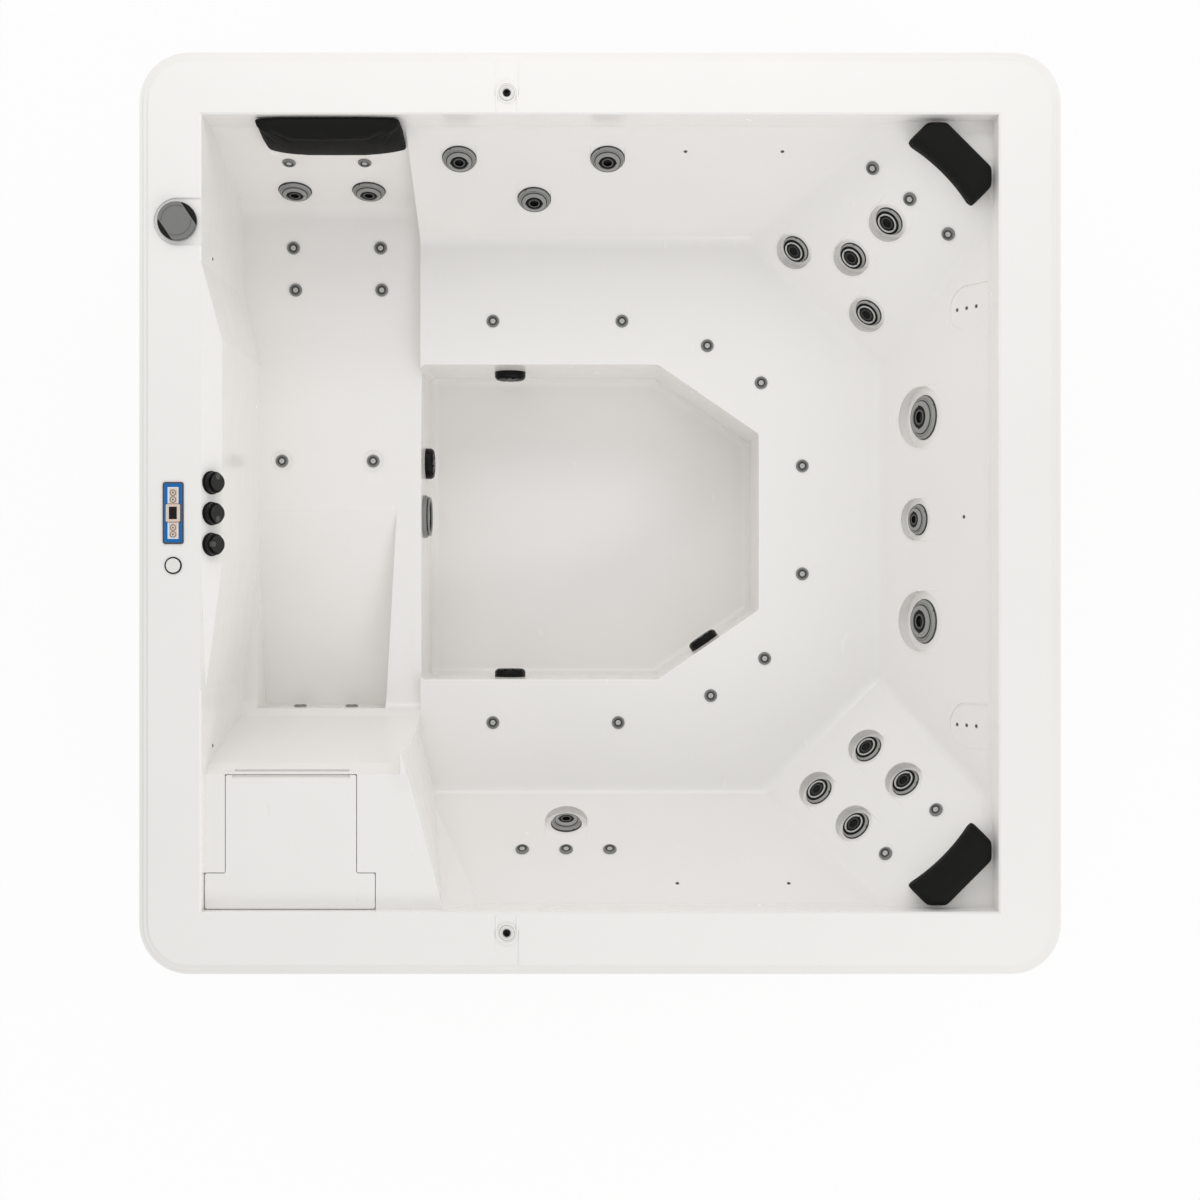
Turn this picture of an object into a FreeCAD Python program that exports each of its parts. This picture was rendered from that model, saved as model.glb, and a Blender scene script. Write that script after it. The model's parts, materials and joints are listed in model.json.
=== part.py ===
import FreeCAD, Part
import math
import os

Vector = FreeCAD.Vector

# Overall sizes, in millimetres. The tub stands on z = 0 with its middle on the z axis.
tub_width = 2200.0
tub_length = 2200.0
tub_height = 900.0
rim_width = 150.0
rim_corner_radius = 120.0
shell_wall = 10.0
lip_drop = 60.0
lip_step_width = 12.0
lip_step_height = 5.0
mouth_chamfer = 4.0
overrun = 40.0
fit_gap = 0.3
flat_tolerance = 0.001

# Depths below the rim
platform_drop = 30.0
ledge_drop = 60.0
band_drop = 110.0
seat_drop = 450.0
filter_well_drop = 400.0

# Heights above the ground
footwell_floor = 150.0
lounge_back_foot_height = 435.0
lounge_seat_height = 400.0
lounge_thigh_height = 430.0
leg_well_end_height = 320.0

# Seat well: how far its backs lean in, and how far its corner seats stand in from the mouth's corner
lounge_width = 474.0
rear_back_run = 200.0
right_back_run = 215.0
front_back_run = 235.0
corner_ledge_depth = 128.5
corner_seat_depth = 533.5
crease_radius = 40.0

# Footwell: the benches round it, and the cuts across its right corners
right_bench_depth = 529.0
bench_depth = 533.0
footwell_cut_x = 267.0
footwell_cut_y = 184.0
footwell_corner_radius = 14.0
footwell_floor_radius = 22.0

# Lounge: a back, a seat, a rise under the knees, a level stretch, and a well for the legs
lounge_back_run = 110.0
lounge_seat_run = 355.0
lounge_rise_run = 185.0
lounge_thigh_run = 268.0
lounge_crease_radius = 60.0
lounge_knee_radius = 450.0
leg_well_end_gap = 130.0
leg_well_start_inset = 65.0
leg_well_end_inset = 94.0

# Filter platform in the front left corner, measured from the mouth
platform_depth = 325.0
platform_nose_run = 22.0
platform_nose_drop = 50.0
platform_foot_run = 122.0
platform_width_near = 489.0
platform_width_far = 573.0
facet_width = 79.0
facet_foot_run = 203.0
facet_foot_inset = 54.0
facet_foot_rise = 60.0

# Console that bulges from the left wall and carries the air knobs
console_bulge = 39.0
console_chamfer_drop = 50.0
console_rear_gap = 350.0
console_rear_slope = 180.0
console_front_flat = 120.0
console_front_gap = 205.0

# Filter lid and the filter well under it
lid_thickness = 12.0
lid_gap = 2.0
lid_stem_inset = 50.0
lid_stem_width = 317.0
lid_foot_width = 412.0
lid_foot_depth = 89.0
lid_slot_width = 283.0
lid_slot_depth = 10.0
lid_corner_radius = 5.0
filter_rebate = 20.0
skimmer_slot_height = 10.0
cartridge_diameter = 125.0
cartridge_length = 290.0
cartridge_cap = 14.0
cartridge_bore = 46.0
cartridge_pleats = 36
cartridge_pleat_depth = 9.0
cartridge_cap_overhang = 2.25
cartridge_spacing = 132.0

# Large jets
jet_barrel_length = 46.0
jet_flange = 3.0
jet_face_top = 10.0
jet_face_bevel = 2.5
jet_groove = 2.0
jet_nozzle_top = 6.0
jet_well_depth = 8.0
jet_bore_depth = 24.0
jet_barrel_share = 0.76
jet_nozzle_share = 0.40
jet_bore_share = 0.22
jet_groove_share = 0.86
jet_wall_share = 0.08
jet_notch_radius = 4.0
jet_notches = 3
wide_bezel_share = 0.56
narrow_bezel_share = 0.68
rear_jet_diameter = 83.0
lounge_jet_diameter = 83.0
right_jet_diameter = 111.0
middle_jet_diameter = 77.0
front_jet_diameter = 76.0
corner_jet_diameter = 72.0
corner_pocket_radius = 50.0
right_pocket_radius = 80.0
middle_pocket_radius = 56.0
corner_pocket_tilt = 14.0
back_pocket_tilt = 10.0
corner_jet_reach = 150.0

# Small jets, seat injectors and light pins
small_jet_diameter = 34.0
small_jet_barrel = 20.0
small_jet_length = 34.0
small_jet_height = 5.0
small_jet_bevel = 2.0
small_jet_throat_share = 0.62
small_jet_nozzle_share = 0.42
small_jet_throat_depth = 3.0
thigh_recess_diameter = 58.0
thigh_recess_depth = 3.0
injector_offset = 115.0
injector_height = 3.5
pin_diameter = 9.0
pin_height = 1.5
pin_length = 24.0
pin_spacing = 33.0
pin_pad_half_width = 56.0
pin_pad_depth = 3.0
left_pin_rear_gap = 321.0
left_pin_front_gap = 61.0

# Footwell fittings
suction_diameter = 84.0
suction_height = 22.0
suction_barrel = 50.0
suction_length = 45.0
suction_slots = 10
suction_slot_width = 5.0
suction_slot_depth = 5.0
suction_hub_share = 0.36
lamp_diameter = 115.0
lamp_height = 12.0
lamp_barrel = 80.0
lamp_length = 60.0
lamp_lens_share = 0.72
lamp_below_thigh = 70.0
lamp_to_suction = 148.0
lens_height = 6.0

# Pillows
pillow_gap = 0.8
lounge_pillow_length = 350.0
lounge_pillow_top = 15.0
lounge_pillow_foot_share = 0.2535
lounge_pillow_thickness = 37.0
lounge_pillow_crown = 10.0
lounge_pillow_inset = 179.0
lounge_pillow_crease = 34.0
draw_depth = 5.0
lounge_pillow_foot_thickness = 16.0
corner_pillow_length = 220.0
corner_pillow_inner_depth = 186.5
corner_pillow_outer_depth = 87.5
corner_pillow_hollow = 12.0
corner_pillow_top = 16.0
corner_pillow_shoulder = 34.0
corner_pillow_foot = 118.0
corner_pillow_crown = 16.0
corner_pillow_cut = 32.0

# Rim controls
controls_inset = 84.0
panel_length = 148.0
panel_breadth = 50.0
panel_height = 5.0
panel_recess = 2.5
panel_corner_radius = 6.0
screen_frame_length = 42.0
screen_frame_breadth = 34.0
screen_length = 30.0
screen_breadth = 19.0
screen_depth = 1.5
key_diameter = 12.0
key_travel = 1.0
key_height = 1.2
button_place = 125.0
button_ring_diameter = 41.0
button_diameter = 34.0
button_height = 3.0
button_travel = 3.0
button_depth = 9.0
button_barrel_length = 30.0
ring_height = 2.0
knob_spacing = 74.0
knob_drop_share = 0.5
knob_diameter = 57.0
knob_rim = 4.0
knob_height = 18.0
knob_inset = 3.0
knob_nub_diameter = 18.0
knob_nub_height = 5.0
knob_nub_offset = 13.0
knob_barrel = 34.0
knob_barrel_length = 40.0
spindle_diameter = 12.0
spindle_height = 9.0
diverter_inset = 94.0
diverter_rear_inset = 406.0
diverter_diameter = 93.0
diverter_bar_width = 67.0
diverter_disc_height = 8.0
diverter_bar_height = 9.0
diverter_recess_radius = 57.0
diverter_recess_depth = 4.0
diverter_barrel = 56.0
diverter_barrel_length = 60.0
diverter_bar_angle = -56.2
fountain_inset = 100.0
fountain_place = 222.0
fountain_pad_width = 58.0
fountain_pad_depth = 2.0
fountain_ring_diameter = 46.0
fountain_nozzle_diameter = 18.0
fountain_nozzle_height = 7.0
fountain_bore = 8.0
fountain_barrel = 14.0
fountain_barrel_length = 36.0

# Cabinet
panel_inset = 25.0
panel_thickness = 18.0
panel_top_gap = 8.0
plank_count = 6
plank_groove = 4.0
pan_height = 20.0
rail_thickness = 19.0
rail_height = 90.0
post_width = 90.0
corner_post = 70.0
trim_thickness = 12.0
post_place_shares = (-0.9, -0.34, 0.34, 0.9)
board_thickness = 30.0
board_head_gap = 120.0
access_gap = 3.0
screw_head = 14.0
screw_head_height = 3.0
screw_slot = 1.5
screw_shank = 6.0
screw_shank_length = 14.0
screw_place_shares = (-0.85, 0.0, 0.85)
screw_edge = 45.0

# Equipment under the lounge
pump_inset = 297.0
pump_front_places = (460.0, -130.0)
motor_diameter = 160.0
motor_length = 270.0
motor_wall = 8.0
motor_end = 40.0
motor_core = 70.0
motor_fins = 12
motor_fin_depth = 6.0
motor_fin_width = 5.0
wet_end_diameter = 200.0
wet_end_length = 96.0
wet_end_wall = 8.0
pump_axis_height = 125.0
pump_foot_width = 120.0
impeller_diameter = 140.0
impeller_disc = 5.0
impeller_hub = 40.0
impeller_height = 34.0
impeller_vanes = 6
impeller_vane_thickness = 5.0
shaft_diameter = 18.0
pipe_diameter = 60.0
pipe_wall = 4.0
pipe_rise = 120.0
inlet_reach = 30.0
suction_run_height = 200.0
manifold_height = 280.0
manifold_end = 70.0
pack_width = 150.0
pack_length = 330.0
pack_height = 220.0
pack_inset = 127.0
pack_front = -560.0
heater_diameter = 80.0
heater_length = 300.0

# Drain and power inlet on the front panel
drain_place = 200.0
drain_height = 185.0
drain_flange = 70.0
drain_flange_thickness = 4.0
drain_spigot = 26.0
drain_spigot_length = 17.0
drain_barrel = 40.0
drain_length = 70.0
drain_bore = 18.0
drain_cap_wall = 4.0
drain_cap_ribs = 12
drain_cap_rib = 3.0
inlet_place = 560.0
inlet_height = 150.0
inlet_diameter = 32.0

# Cross sections of the lounge pillow, as shares of its half length, and how late it draws in towards its ends
pillow_section_shares = (-1, -0.93, -0.6, 0, 0.6, 0.93, 1)
pillow_end_power = 8
pillow_crown_power = 4

# Places on the walls, as shares of the wall's reach along it and of its drop
rear_jet_shares = ((-0.8254, 0.265), (-0.3058, 0.265), (-0.5696, 0.624))
right_jet_shares = ((-0.276, 0.538), (0.276, 0.538))
middle_jet_shares = ((0.0, 0.594),)
front_jet_shares = ((0.455, 0.688),)
rear_corner_jet_shares = ((-0.94, 0.853), (-0.13, 0.667), (-0.09, 0.416), (0.745, 0.818))
front_corner_jet_shares = ((-0.485, 0.742), (-0.495, 0.474), (0.64, 0.769), (0.617, 0.498))
lounge_jet_shares = ((-0.476, 0.789), (0.411, 0.789))
lounge_neck_shares = ((-0.439, 0.425), (0.444, 0.425))
lounge_seat_shares = ((-0.568, 0.307), (0.5, 0.307), (-0.55, 0.617), (0.508, 0.617))
lounge_thigh_shares = ((-0.706, 0.511), (0.411, 0.511))
leg_end_shares = ((-0.536, 0.64), (0.1, 0.64))
rear_corner_small_shares = ((-0.89, 0.301), (-0.09, 0.28), (0.77, 0.268))
front_corner_small_shares = ((-0.5, 0.273), (0.6, 0.297))
front_small_shares = ((0.6095, 0.462), (0.453, 0.462), (0.2974, 0.462))
injector_shares = {1: (0.832, 0.305), 2: (0.813, 0.278), 3: (0.818, 0.204), 4: (0.756, 0.222), 5: (0.695, 0.152)}
suction_shares = {1: 0.365, 2: 0.5, 5: 0.635}
suction_height_share = 0.5
lamp_share = 0.478
rear_pin_shares = ((-0.0339, 0.206), (0.3045, 0.206))
right_pin_shares = ((0.0, 0.206),)
front_pin_shares = ((0.0633, 0.17), (-0.3245, 0.17))
left_pin_drop_share = 0.267
pin_pad_shares = ((-0.546, 0.19), (0.546, 0.19))
key_place_shares = (0.65, 0.43, -0.47, -0.69)

# Values worked out from the sizes above
half_width = tub_width / 2
half_length = tub_length / 2
mouth_x = half_width - rim_width
mouth_y = half_length - rim_width
diagonal = math.sqrt(0.5)
lounge_edge = mouth_x - lounge_width
footwell_right = mouth_x - right_bench_depth
footwell_half_length = mouth_y - bench_depth
platform_front = mouth_y - platform_depth
platform_side_near = mouth_x - platform_width_near
platform_side_far = mouth_x - platform_width_far
lid_stem_left = mouth_x - lid_stem_inset
lid_stem_right = lid_stem_left - lid_stem_width
lid_foot_right = mouth_x - lid_foot_width
lid_foot_line = mouth_y - lid_foot_depth
console_rear_end = mouth_y - console_rear_gap
console_rear_flat = console_rear_end - console_rear_slope
console_front_end = platform_front - console_front_gap
seat_level = tub_height - seat_drop
right = Vector(1, 0, 0)
rear = Vector(0, 1, 0)
up = Vector(0, 0, 1)
controls_x = -half_width + controls_inset
diverter_x = -half_width + diverter_inset
diverter_place = half_length - diverter_rear_inset
panel_face_x = half_width - panel_inset
panel_face_y = half_length - panel_inset
panel_back_x = panel_face_x - panel_thickness
panel_back_y = panel_face_y - panel_thickness
cabinet_corner = rim_corner_radius - panel_inset
rim_under = tub_height - shell_wall - 2 * lip_step_height
pump_place = panel_back_x - pump_inset
pack_place = panel_back_x - pack_inset


def level(drop):
    """Height of a point that lies this far below the rim."""
    return tub_height - drop


def flat_points(points, height):
    """Plan points lifted to one height."""
    return [Vector(x, y, height) for x, y in points]


def face_of(points):
    """Flat face through a ring of points."""
    return Part.Face(Part.makePolygon(list(points) + [points[0]]))


def prism(points, bottom, top):
    """Upright prism on a plan outline."""
    return face_of(flat_points(points, bottom)).extrude(up * (top - bottom))


def side_faces(a, b, c, d):
    """One flat side, or two triangles where its four corners aren't in one plane."""
    normal = (b - a).cross(d - a).normalize()
    if abs(normal.dot(c - a)) < flat_tolerance:
        return [face_of([a, b, c, d])]
    return [face_of([a, b, d]), face_of([b, c, d])]


def between(lower, upper):
    """Closed solid between two rings with as many points."""
    faces = [face_of(lower), face_of(upper)]
    for i in range(len(lower)):
        j = (i + 1) % len(lower)
        ring = [lower[i], lower[j], upper[j], upper[i]]
        kept = [p for k, p in enumerate(ring) if (p - ring[k - 1]).Length > fit_gap]
        if len(kept) == 4:
            faces += side_faces(*kept)
        else:
            faces.append(face_of(kept))
    return Part.Solid(Part.Shell(faces)).removeSplitter()


def outset(points, distance):
    """Outline with each side moved outwards; the points run anticlockwise."""
    moved = []
    count = len(points)
    for i in range(count):
        before, here, after = points[i - 1], points[i], points[(i + 1) % count]
        in_way = Vector(here[0] - before[0], here[1] - before[1], 0).normalize()
        out_way = Vector(after[0] - here[0], after[1] - here[1], 0).normalize()
        in_side = in_way.cross(up)
        out_side = out_way.cross(up)
        reach = distance / (1 + in_side.dot(out_side))
        moved.append((here[0] + (in_side.x + out_side.x) * reach, here[1] + (in_side.y + out_side.y) * reach))
    return moved


def rounded_wire(points, radii):
    """Closed wire through corner points, each corner rounded by an arc that its sides have room for."""
    count = len(points)
    edges = []
    pen = None
    first = None
    for i in range(count):
        before, here, after = points[i - 1], points[i], points[(i + 1) % count]
        back_way = (before - here).normalize()
        on_way = (after - here).normalize()
        half_turn = back_way.getAngle(on_way) / 2
        room = min((before - here).Length, (after - here).Length) / 2
        tangent = min(radii[i] / math.tan(half_turn), room)
        start = here + back_way * tangent
        end = here + on_way * tangent
        if pen and (start - pen).Length > flat_tolerance:
            edges.append(Part.LineSegment(pen, start).toShape())
        if tangent > flat_tolerance:
            arc_radius = tangent * math.tan(half_turn)
            to_middle = (back_way + on_way).normalize() * (arc_radius / math.sin(half_turn) - arc_radius)
            edges.append(Part.Arc(start, here + to_middle, end).toShape())
        pen = end
        first = first or start
    if (first - pen).Length > flat_tolerance:
        edges.append(Part.LineSegment(pen, first).toShape())
    return Part.Wire(edges)


def rounded_prism(points, radius, bottom, top):
    """Upright prism whose plan corners are rounded."""
    wire = rounded_wire(flat_points(points, bottom), [radius] * len(points))
    return Part.Face(wire).extrude(up * (top - bottom))


def box_points(low_x, high_x, low_y, high_y):
    """Plan corners of a rectangle, anticlockwise."""
    return [(low_x, low_y), (high_x, low_y), (high_x, high_y), (low_x, high_y)]


def block(low_x, high_x, low_y, high_y, bottom, top):
    """Upright box."""
    return prism(box_points(low_x, high_x, low_y, high_y), bottom, top)


def turned(profile, radii=None):
    """Solid turned about the local z axis from points of radius and height, with rounded corners if given."""
    points = [Vector(radius, 0, height) for radius, height in profile]
    section = Part.Face(rounded_wire(points, radii)) if radii else face_of(points)
    return section.revolve(Vector(0, 0, 0), up, 360)


def rod(diameter, low, high):
    """Cylinder on the local z axis."""
    return Part.makeCylinder(diameter / 2, high - low, Vector(0, 0, low), up)


def ring_of(shape, count):
    """Copies of a shape turned evenly about the local z axis."""
    copies = []
    for i in range(count):
        copy = shape.copy()
        copy.rotate(Vector(0, 0, 0), up, 360 * i / count)
        copies.append(copy)
    return copies


class Spot:
    """A place on a wall: a point, the way out of the wall and the way along it."""

    def __init__(self, point, normal, along):
        self.point = point
        self.normal = normal
        self.along = along

    def set(self, shape):
        """Copy of a shape moved from the local axes to this place."""
        side = self.normal.cross(self.along)
        rotation = FreeCAD.Rotation(self.along, side, self.normal, "ZXY")
        placed = shape.copy()
        placed.Placement = FreeCAD.Placement(self.point, rotation)
        return placed

    def sunk(self, depth):
        """The same place, this much deeper in the wall."""
        return Spot(self.point - self.normal * depth, self.normal, self.along)


class Wall:
    """A flat wall from its top middle to its bottom middle; along runs clockwise seen from above."""

    def __init__(self, top, bottom, along, reach):
        self.top = top
        self.drop = bottom - top
        self.along = along
        self.reach = reach
        self.normal = self.drop.cross(along).normalize()

    def spot(self, shares):
        """Place at a share of the reach and a share of the drop."""
        along_share, drop_share = shares
        point = self.top + self.along * (self.reach * along_share) + self.drop * drop_share
        return Spot(point, self.normal, self.along)

    def pocket_spot(self, shares, radius, tilt):
        """Middle of a pocket floor that is steeper than the wall and meets it at the pocket's top."""
        flush = self.spot(shares)
        sink = radius * math.sin(math.radians(tilt)) / flush.normal.z
        steeper = FreeCAD.Rotation(self.along, tilt).multVec(self.normal)
        return Spot(flush.point - up * sink, steeper, self.along)


# Walls that carry fittings
bench_middle = (mouth_x - lounge_edge) / 2
bench_reach = (mouth_x + lounge_edge) / 2
rear_back = Wall(
    Vector(bench_middle, mouth_y, level(band_drop)),
    Vector(bench_middle, mouth_y - rear_back_run, seat_level),
    right,
    bench_reach,
)
right_back = Wall(
    Vector(mouth_x, 0, level(band_drop)),
    Vector(mouth_x - right_back_run, 0, seat_level),
    -rear,
    mouth_y,
)
front_back = Wall(
    Vector(bench_middle, -mouth_y, level(band_drop)),
    Vector(bench_middle, front_back_run - mouth_y, seat_level),
    -right,
    bench_reach,
)
left_side = Wall(Vector(-mouth_x, 0, tub_height), Vector(-mouth_x, 0, seat_level), rear, mouth_y)


def corner_axes(side):
    """Corner of the mouth at the rear (side 1) or the front (side -1), the way out to it and the way across it."""
    corner = Vector(mouth_x, side * mouth_y, 0)
    outwards = Vector(diagonal, side * diagonal, 0)
    along = Vector(side * diagonal, -diagonal, 0)
    return corner, outwards, along


def corner_back(side):
    """Slanting back of a corner seat."""
    corner, outwards, along = corner_axes(side)
    top = corner - outwards * corner_ledge_depth + up * level(ledge_drop)
    bottom = corner - outwards * corner_seat_depth + up * seat_level
    return Wall(top, bottom, along, corner_jet_reach)


rear_corner = corner_back(1)
front_corner = corner_back(-1)

lounge_middle = (lounge_edge + mouth_x - console_bulge) / 2
lounge_reach = (mouth_x - console_bulge - lounge_edge) / 2
lounge_back_foot = mouth_y - lounge_back_run
lounge_seat_foot = lounge_back_foot - lounge_seat_run
lounge_rise_foot = lounge_seat_foot - lounge_rise_run
leg_well_start = lounge_rise_foot - lounge_thigh_run
leg_well_end = platform_front - leg_well_end_gap
leg_well_start_edge = lounge_edge + leg_well_start_inset
leg_well_end_edge = lounge_edge + leg_well_end_inset


def lounge_wall(rear_y, rear_height, front_y, front_height):
    """Stretch of the lounge from one line across it to the next one towards the front."""
    top = Vector(-lounge_middle, rear_y, rear_height)
    bottom = Vector(-lounge_middle, front_y, front_height)
    return Wall(top, bottom, right, lounge_reach)


lounge_back = lounge_wall(mouth_y, level(band_drop), lounge_back_foot, lounge_back_foot_height)
lounge_seat = lounge_wall(lounge_back_foot, lounge_back_foot_height, lounge_seat_foot, lounge_seat_height)
lounge_thigh = lounge_wall(lounge_rise_foot, lounge_thigh_height, leg_well_start, lounge_thigh_height)
leg_end = Wall(
    Vector(-lounge_middle, -leg_well_end, lounge_thigh_height),
    Vector(-lounge_middle, -leg_well_end, leg_well_end_height),
    -right,
    -lounge_reach,
)
console_slope = Wall(
    Vector(-mouth_x, 0, tub_height),
    Vector(console_bulge - mouth_x, 0, level(console_chamfer_drop)),
    rear,
    knob_spacing,
)

# Acrylic shell
platform_lean = (platform_side_near - platform_side_far) / (mouth_y - platform_front)
platform_meet = platform_front - (lounge_edge - platform_side_near) / platform_lean
corner_lean = (corner_seat_depth - corner_ledge_depth) / (seat_drop - ledge_drop)
rim_over = tub_height + overrun
footwell_points = [
    (-lounge_edge, footwell_half_length),
    (-lounge_edge, -footwell_half_length),
    (footwell_right - footwell_cut_x, -footwell_half_length),
    (footwell_right, footwell_cut_y - footwell_half_length),
    (footwell_right, footwell_half_length - footwell_cut_y),
    (footwell_right - footwell_cut_x, footwell_half_length),
]


def platform_side(y):
    """Where the platform's right side lies at this y."""
    return -platform_side_near - platform_lean * (platform_front + y)


def corner_fill(side, grow):
    """Solid under a corner's ledge and behind its slanting back."""
    corner, outwards, along = corner_axes(side)
    top = level(ledge_drop + grow)
    bottom = seat_level - grow - overrun
    ring = [
        corner + outwards * (grow - corner_ledge_depth) + up * top,
        corner + outwards * overrun + up * top,
        corner + outwards * overrun + up * bottom,
        corner + outwards * (grow - corner_seat_depth - corner_lean * overrun) + up * bottom,
    ]
    solid = face_of(ring).extrude(along * (2 * mouth_x))
    solid.translate(along * -mouth_x)
    return solid


def seat_well(grow):
    """Space over the seats, grown by a wall."""
    front_seat = front_back_run - mouth_y
    upper = outset([
        (-lounge_edge, mouth_y),
        (-lounge_edge, -platform_meet),
        (platform_side(-mouth_y), -mouth_y),
        (mouth_x, -mouth_y),
        (mouth_x, mouth_y),
    ], grow)
    lower = outset([
        (-lounge_edge, mouth_y - rear_back_run),
        (-lounge_edge, -platform_meet),
        (platform_side(front_seat), front_seat),
        (mouth_x - right_back_run, front_seat),
        (mouth_x - right_back_run, mouth_y - rear_back_run),
    ], grow)
    straight = prism(upper, level(band_drop), rim_over)
    leaning = between(flat_points(lower, seat_level - grow), flat_points(upper, level(band_drop)))
    well = straight.fuse(leaning).cut([corner_fill(1, grow), corner_fill(-1, grow)])
    return well.removeSplitter()


def softened_seat_well():
    """Seat well with rounded creases, and the slanting facet beside the platform."""
    well = seat_well(0)
    creases = []
    for edge in well.Edges:
        middle = edge.valueAt((edge.FirstParameter + edge.LastParameter) / 2)
        on_lounge = middle.x < -lounge_edge + flat_tolerance
        on_platform = middle.x < platform_side(middle.y) + flat_tolerance
        below_ledge = middle.z < level(ledge_drop) - flat_tolerance
        if below_ledge and not on_lounge and not on_platform:
            creases.append(edge)
    well = well.makeFillet(crease_radius, creases)
    top = Vector(platform_side(-mouth_y), -mouth_y, level(platform_drop))
    near = Vector(top.x + facet_width, top.y, level(band_drop))
    foot = Vector(top.x - facet_foot_inset, top.y + facet_foot_run, seat_level + facet_foot_rise)
    behind = Vector(foot.x - facet_foot_inset, top.y, foot.z - facet_foot_inset)
    corners = [[top, near, foot], [top, foot, behind], [top, behind, near], [near, behind, foot]]
    facet = Part.Solid(Part.Shell([face_of(ring) for ring in corners]))
    return well.cut(facet)


def footwell(grow):
    """Space for the feet."""
    bottom = footwell_floor - grow
    well = rounded_prism(outset(footwell_points, grow), footwell_corner_radius, bottom, seat_level + overrun)
    floor_edges = [edge for edge in well.Edges if edge.BoundBox.ZMax < bottom + flat_tolerance]
    return well.makeFillet(footwell_floor_radius, floor_edges)


def lounge(grow):
    """Space over the lounge, from the rim to its seat, with the console cut from its left side."""
    console_x = console_bulge - mouth_x
    bulged = outset([
        (-lounge_edge, mouth_y),
        (-mouth_x, mouth_y),
        (-mouth_x, console_rear_end),
        (console_x, console_rear_flat),
        (console_x, -console_front_flat),
        (-mouth_x, -console_front_end),
        (-mouth_x, -platform_front),
        (-lounge_edge, -platform_front),
    ], grow)
    straight = outset([
        (-lounge_edge, mouth_y),
        (-mouth_x, mouth_y),
        (-mouth_x, console_rear_end),
        (-mouth_x, console_rear_flat),
        (-mouth_x, -console_front_flat),
        (-mouth_x, -console_front_end),
        (-mouth_x, -platform_front),
        (-lounge_edge, -platform_front),
    ], grow)
    chamfer_level = level(console_chamfer_drop)
    deepest = lounge_seat_height - grow - overrun
    lower = prism(bulged, deepest, chamfer_level)
    middle = between(flat_points(bulged, chamfer_level), flat_points(straight, tub_height))
    upper = prism(straight, tub_height, rim_over)
    plan = lower.fuse([middle, upper])
    nose = platform_nose_run - platform_front
    outline = outset([
        (-platform_front, rim_over),
        (-platform_front, level(platform_drop)),
        (nose, level(platform_drop + platform_nose_drop)),
        (platform_foot_run - platform_front, lounge_thigh_height),
        (lounge_rise_foot, lounge_thigh_height),
        (lounge_seat_foot, lounge_seat_height),
        (lounge_back_foot, lounge_back_foot_height),
        (mouth_y, level(band_drop)),
        (mouth_y, rim_over),
    ], grow)
    jet_room = lounge_back.drop.Length * (1 - lounge_jet_shares[0][1]) - lounge_jet_diameter / 2
    back_turn = lounge_back.drop.getAngle(lounge_seat.drop)
    back_radius = min(lounge_crease_radius, jet_room / math.tan(back_turn / 2))
    knees = [lounge_knee_radius, lounge_knee_radius]
    soft = [0, 0, crease_radius, lounge_crease_radius] + knees + [back_radius, crease_radius, 0]
    points = [Vector(-mouth_x - overrun, y, z) for y, z in outline]
    profile = Part.Face(rounded_wire(points, soft)).extrude(right * (mouth_x + overrun - lounge_edge + grow))
    return profile.common(plan)


def leg_well(grow):
    """Sloping trench for the lower legs."""
    floor_top = lounge_thigh_height
    plan = outset([
        (-leg_well_start_edge, leg_well_start),
        (console_bulge - mouth_x, leg_well_start),
        (console_bulge - mouth_x, -leg_well_end),
        (-leg_well_end_edge, -leg_well_end),
    ], grow)
    outline = outset([
        (-leg_well_end, leg_well_end_height),
        (leg_well_start, floor_top),
        (leg_well_start, floor_top + overrun),
        (-leg_well_end, floor_top + overrun),
    ], grow)
    points = [Vector(-mouth_x - overrun, y, z) for y, z in outline]
    profile = face_of(points).extrude(right * mouth_x)
    return profile.common(prism(plan, leg_well_end_height - grow - overrun, floor_top + overrun))


def lid_outline(gap):
    """T-shaped outline of the filter lid, drawn in by a gap."""
    return outset([
        (-mouth_x, -mouth_y),
        (-lid_foot_right, -mouth_y),
        (-lid_foot_right, -lid_foot_line),
        (-lid_stem_right, -lid_foot_line),
        (-lid_stem_right, -platform_front),
        (-lid_stem_left, -platform_front),
        (-lid_stem_left, -lid_foot_line),
        (-mouth_x, -lid_foot_line),
    ], -gap)


def platform_mouth(grow):
    """Space over the platform."""
    low = level(platform_drop + grow)
    corner = block(-mouth_x - grow, -lounge_edge, -mouth_y - grow, -platform_front, low, rim_over)
    side = block(-lounge_edge, -platform_side_far + overrun, -mouth_y - grow, -platform_front, low, rim_over)
    return corner.fuse(side)


def filter_space(grow):
    """Rebate for the lid and the well for the cartridges under it."""
    rebate_level = level(platform_drop + lid_thickness)
    rebate = prism(outset(lid_outline(0), grow), rebate_level - grow, level(platform_drop) + lid_thickness)
    well = block(
        -lid_stem_left + filter_rebate - grow,
        -lid_stem_right - filter_rebate + grow,
        -lid_foot_line + filter_rebate - grow,
        -platform_front - filter_rebate - shell_wall + grow,
        level(filter_well_drop + grow),
        rebate_level + lid_thickness,
    )
    return rebate.fuse(well)


def skimmer_slot():
    """Slot under the lid's front edge that lets water into the filter well."""
    high = level(platform_drop + lid_thickness)
    return block(
        -lid_stem_left + filter_rebate,
        -lid_stem_right - filter_rebate,
        -platform_front - filter_rebate - 2 * shell_wall,
        -platform_front + platform_nose_run + overrun,
        high - skimmer_slot_height,
        high,
    )


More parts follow.
